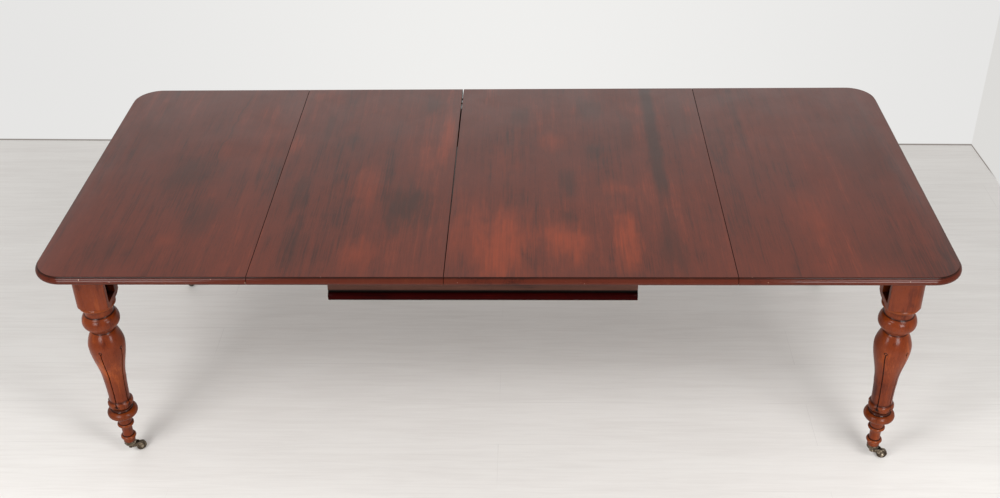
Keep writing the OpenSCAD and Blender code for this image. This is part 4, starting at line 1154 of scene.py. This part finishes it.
def buildScrewTree():
    tree = bpy.data.node_groups.new("screwSetting", "GeometryNodeTree")
    sockets = {}
    for label, kind, way in (("Places", "Geometry", "INPUT"), ("Screw", "Object", "INPUT"),
                             ("Finish", "Material", "INPUT"), ("Turn Seed", "Int", "INPUT"),
                             ("Sink", "Float", "INPUT"), ("Screws", "Geometry", "OUTPUT")):
        sockets[label] = tree.interface.new_socket(label, in_out=way, socket_type="NodeSocket" + kind)
    given = tree.nodes.new("NodeGroupInput").outputs
    result = tree.nodes.new("NodeGroupOutput").inputs
    source = addNode(tree, "GeometryNodeObjectInfo", {"Object": given["Screw"]})
    angle = addNode(tree, "FunctionNodeRandomValue", {"Seed": given["Turn Seed"], 3: 3.14}, data_type="FLOAT")
    rotation = addNode(tree, "ShaderNodeCombineXYZ", {"Z": angle.outputs[1]})
    depth = addNode(tree, "ShaderNodeCombineXYZ", {"Z": given["Sink"]})
    moved = addNode(tree, "GeometryNodeSetPosition", {
        "Geometry": given["Places"], "Offset": depth.outputs[0]})
    points = addNode(tree, "GeometryNodeMeshToPoints", {"Mesh": moved.outputs[0]})
    placed = addNode(tree, "GeometryNodeInstanceOnPoints", {
        "Points": points.outputs[0], "Instance": source.outputs["Geometry"], "Rotation": rotation.outputs[0]})
    plain = addNode(tree, "GeometryNodeRealizeInstances", {"Geometry": placed.outputs[0]})
    dressed = addNode(tree, "GeometryNodeSetMaterial", {
        "Geometry": plain.outputs[0], "Material": given["Finish"]})
    fill(tree, result, {"Screws": dressed.outputs[0]})
    return tree, {label: socket.identifier for label, socket in sockets.items()}


screwTree, screwSockets = buildScrewTree()
screwObject = screwDrawing()


def screwPiece(node, body, pairs, seed):
    low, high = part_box(node)
    head = screw["head"]
    first, last = low.x + head, high.x - head
    xs = (first, last) if pairs == 1 else (first, first + screw["pairApart"], last - screw["pairApart"], last)
    mesh = bpy.data.meshes.new(node + "Places")
    mesh.from_pydata([(x, y, low.z) for x in xs for y in (low.y + head, high.y - head)], [], [])
    piece = linked(node + "Set", mesh)
    setting = piece.modifiers.new("screws", "NODES")
    setting.node_group = screwTree
    for label, value in (("Screw", screwObject), ("Finish", steelFinish), ("Turn Seed", seed),
                         ("Sink", screw["sink"])):
        setting[screwSockets[label]] = value
    applyModifiers(piece)
    piece.data.shade_smooth()
    piece.data.set_sharp_from_angle(angle=math.radians(40))
    handOver([piece], node, body)


screwPiece("left_frame_screws", "left_end", 1, 11)
screwPiece("right_frame_screws", "right_end", 1, 23)
screwPiece("centre_frame_screws", "centre_frame", 2, 37)
bpy.data.objects.remove(screwObject)
print("screws set")

# finishes on the pieces that come from the model

finishes = {
    "bearer": bareAlongX, "cross_rail": bareAlongY, "glue_blocks": bareAlongY, "fork_plates": platesAlongX,
    "stop_pegs": bareAlongY, "forks": brassFinish,
}
for name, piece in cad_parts.items():
    key = next((key for key in finishes if key in name), None)
    if key and not piece.hide_render:
        piece.data.materials.clear()
        piece.data.materials.append(finishes[key])
print("finishes laid on")

# room, light and camera

room = {
    "floorColor": (0.85, 0.825, 0.795, 1), "floorDark": (0.775, 0.745, 0.715, 1),
    # the last colour is a painted shadow along the foot of the walls
    "seamColor": (0.45, 0.42, 0.4, 1), "footShadowColor": (0.26, 0.23, 0.21, 1),
    # the walls hold painted light: the back wall lighter in its middle than at its ends, the side wall darker
    "wallMiddle": (0.87, 0.865, 0.85, 1), "wallFar": (0.79, 0.785, 0.775, 1),
    "sideWall": (0.72, 0.71, 0.69, 1), "corner": (1.95, 1.438), "floorHalf": 6, "wallTall": 4,
    "wallSlant": 0.137, "sideLong": 1.5, "sideSlant": 0.07, "wallFade": 2.2, "footShadowTall": (0.004, 0.009),
    "plankLong": 1.9, "plankWide": 0.187, "plankGap": 0.0011, "light": 0.54, "backdrop": 0.86,
}


def stagePlane(name, points, material):
    mesh = bpy.data.meshes.new(name)
    mesh.from_pydata(points, [], [(0, 1, 2, 3)])
    mesh.materials.append(material)
    piece = linked(name, mesh)
    return piece


def wallPlane(name, start, stop, material):
    tall = room["wallTall"]
    piece = stagePlane(name, [(*start, 0), (*stop, 0), (*stop, tall), (*start, tall)], material)
    for flag in ("visible_diffuse", "visible_shadow", "visible_transmission"):
        setattr(piece, flag, False)


def floorMaterial():
    # limed boards along the table, brushed and worn
    material, tree, shader = newMaterial("paleFloor")
    plus, minus, times = arithmetic(tree)
    place = ownPlace(tree)
    brushed = scaledNoise(tree, place, (4, 70, 1), 5.0, 0.7, 0.5)
    bands = scaledNoise(tree, place, (0.6, 9, 1), 3.0, 0.6, 0.4)
    stains = scaledNoise(tree, place, (1.6, 2.3, 1), 3.0, 0.6, 0.5)
    tone = plus(plus(times(brushed, 0.45), times(bands, 0.35)), times(stains, 0.2))
    color = mixColor(tree, remap(tree, tone, 0.34, 0.62), room["floorDark"], room["floorColor"])
    planks = addNode(tree, "ShaderNodeTexBrick", {
        "Vector": place, "Scale": 1.0, "Color1": (0, 0, 0, 1), "Color2": (1, 1, 1, 1),
        "Mortar": (0.5, 0.5, 0.5, 1), "Mortar Size": room["plankGap"], "Mortar Smooth": 0.4,
        "Brick Width": room["plankLong"], "Row Height": room["plankWide"], "Bias": 0.0})
    seam = times(planks.outputs["Fac"], remap(tree, stains, 0.42, 0.7, 0.0, 0.3))
    fill(tree, shader.inputs, {
        "Base Color": mixColor(tree, seam, color, room["seamColor"]),
        "Roughness": remap(tree, brushed, 0.3, 0.7, 0.6, 0.45), "Specular IOR Level": 0.3})
    return material


def wallMaterial(name, middle, far):
    # seen only from the room's side; its glow is painted lighter in the middle and darker to the sides as the
    # light falls off, and a painted shadow runs along the floor
    material, tree, shader = newMaterial(name)
    tree.nodes.remove(shader)
    place = ownPlace(tree)
    split = splitVector(tree, place)
    sideways = maths(tree, "ABSOLUTE", split["X"])
    # painted falloff of the light, lighter in the middle
    color = mixColor(tree, remap(tree, sideways, 0.0, room["wallFade"]), middle, far)
    # a painted shadow along the wall's foot, broken up by noise
    ragged = remap(tree, scaledNoise(tree, place, (2.2, 2.2, 0), 2.0), 0.38, 0.5)
    footShadow = maths(tree, "MULTIPLY", remap(tree, split["Z"], *room["footShadowTall"], 1.0, 0.0), ragged)
    color = mixColor(tree, footShadow, color, room["footShadowColor"])
    glow = addNode(tree, "ShaderNodeEmission", {"Color": color, "Strength": 1.0})
    clear = addNode(tree, "ShaderNodeBsdfTransparent")
    back = addNode(tree, "ShaderNodeNewGeometry").outputs["Backfacing"]
    mix = addNode(tree, "ShaderNodeMixShader", {0: back, 1: glow.outputs[0], 2: clear.outputs[0]})
    fill(tree, tree.nodes["Material Output"].inputs, {"Surface": mix.outputs[0]})
    return material


far = room["floorHalf"]
stagePlane("floor", [(-far, -far, 0), (far, -far, 0), (far, far, 0), (-far, far, 0)], floorMaterial())
cornerX, cornerY = room["corner"]
wallPlane("wall", (-far, cornerY + room["wallSlant"]), (cornerX, cornerY),
          wallMaterial("paleWall", room["wallMiddle"], room["wallFar"]))
wallPlane("sideWall", (cornerX, cornerY), (cornerX + room["sideSlant"], cornerY - room["sideLong"]),
          wallMaterial("shadedWall", room["sideWall"], room["sideWall"]))

world = bpy.data.worlds.new("room")
bpy.context.scene.world = world
world.use_nodes = True
ray = addNode(world.node_tree, "ShaderNodeLightPath").outputs["Is Camera Ray"]
strength = addNode(world.node_tree, "ShaderNodeMapRange", {
    "Value": ray, "To Min": room["light"], "To Max": room["backdrop"]})
fill(world.node_tree, world.node_tree.nodes["Background"].inputs, {
    "Strength": strength.outputs["Result"], "Color": (1, 0.995, 0.985, 1)})

# place, target, size and power of each soft light
lights = {
    "softLeft": ((-2.5, -2.9, 4.0), (-0.4, 0, 0.4), 1.6, 72),
    "softRight": ((2.5, -2.9, 4.0), (0.4, 0, 0.4), 1.6, 71),
    "lowLeft": ((-1.5, -1.95, 0.95), (-0.2, -0.3, 0.45), 0.7, 14),
    "lowRight": ((1.4, -2.0, 0.95), (0.2, -0.3, 0.45), 0.7, 18),
}
for name, (place, target, size, power) in lights.items():
    data = bpy.data.lights.new(name, "AREA")
    data.shape = "RECTANGLE"
    data.size = data.size_y = size
    data.energy = power
    lamp = linked(name, data)
    lamp.location = place
    lamp.rotation_euler = (Vector(target) - Vector(place)).to_track_quat("-Z", "Y").to_euler()

# focal length and centre are shares of the picture's width, angles are in degrees
camera = {
    "place": (0.10672, -3.06586, 2.54441), "down": 31.997, "turn": 2.252, "lean": 1.270,
    "focal": 1.2114, "centre": (0.49313, 0.2007), "middle": (0.5, 0.249), "sensor": 36,
}


def placeCamera():
    down, turn, lean = (math.radians(camera[k]) for k in ("down", "turn", "lean"))
    forward = Vector((0, math.cos(down), -math.sin(down)))
    right = Vector((1, 0, 0))
    below = forward.cross(right)
    leaned = right * math.cos(lean) + below * math.sin(lean)
    leanedBelow = below * math.cos(lean) - right * math.sin(lean)
    spin = Matrix.Rotation(turn, 3, "Z")
    data = bpy.data.cameras.new("camera")
    data.sensor_width = camera["sensor"]
    data.lens = camera["sensor"] * camera["focal"]
    data.shift_x = camera["middle"][0] - camera["centre"][0]
    data.shift_y = camera["centre"][1] - camera["middle"][1]
    eye = linked("camera", data)
    axes = Matrix((spin @ leaned, -(spin @ leanedBelow), -(spin @ forward))).transposed()
    eye.matrix_world = Matrix.Translation(camera["place"]) @ axes.to_4x4()
    bpy.context.scene.camera = eye


placeCamera()
bpy.context.scene.view_settings.view_transform = "Standard"
print("room, light and camera set")
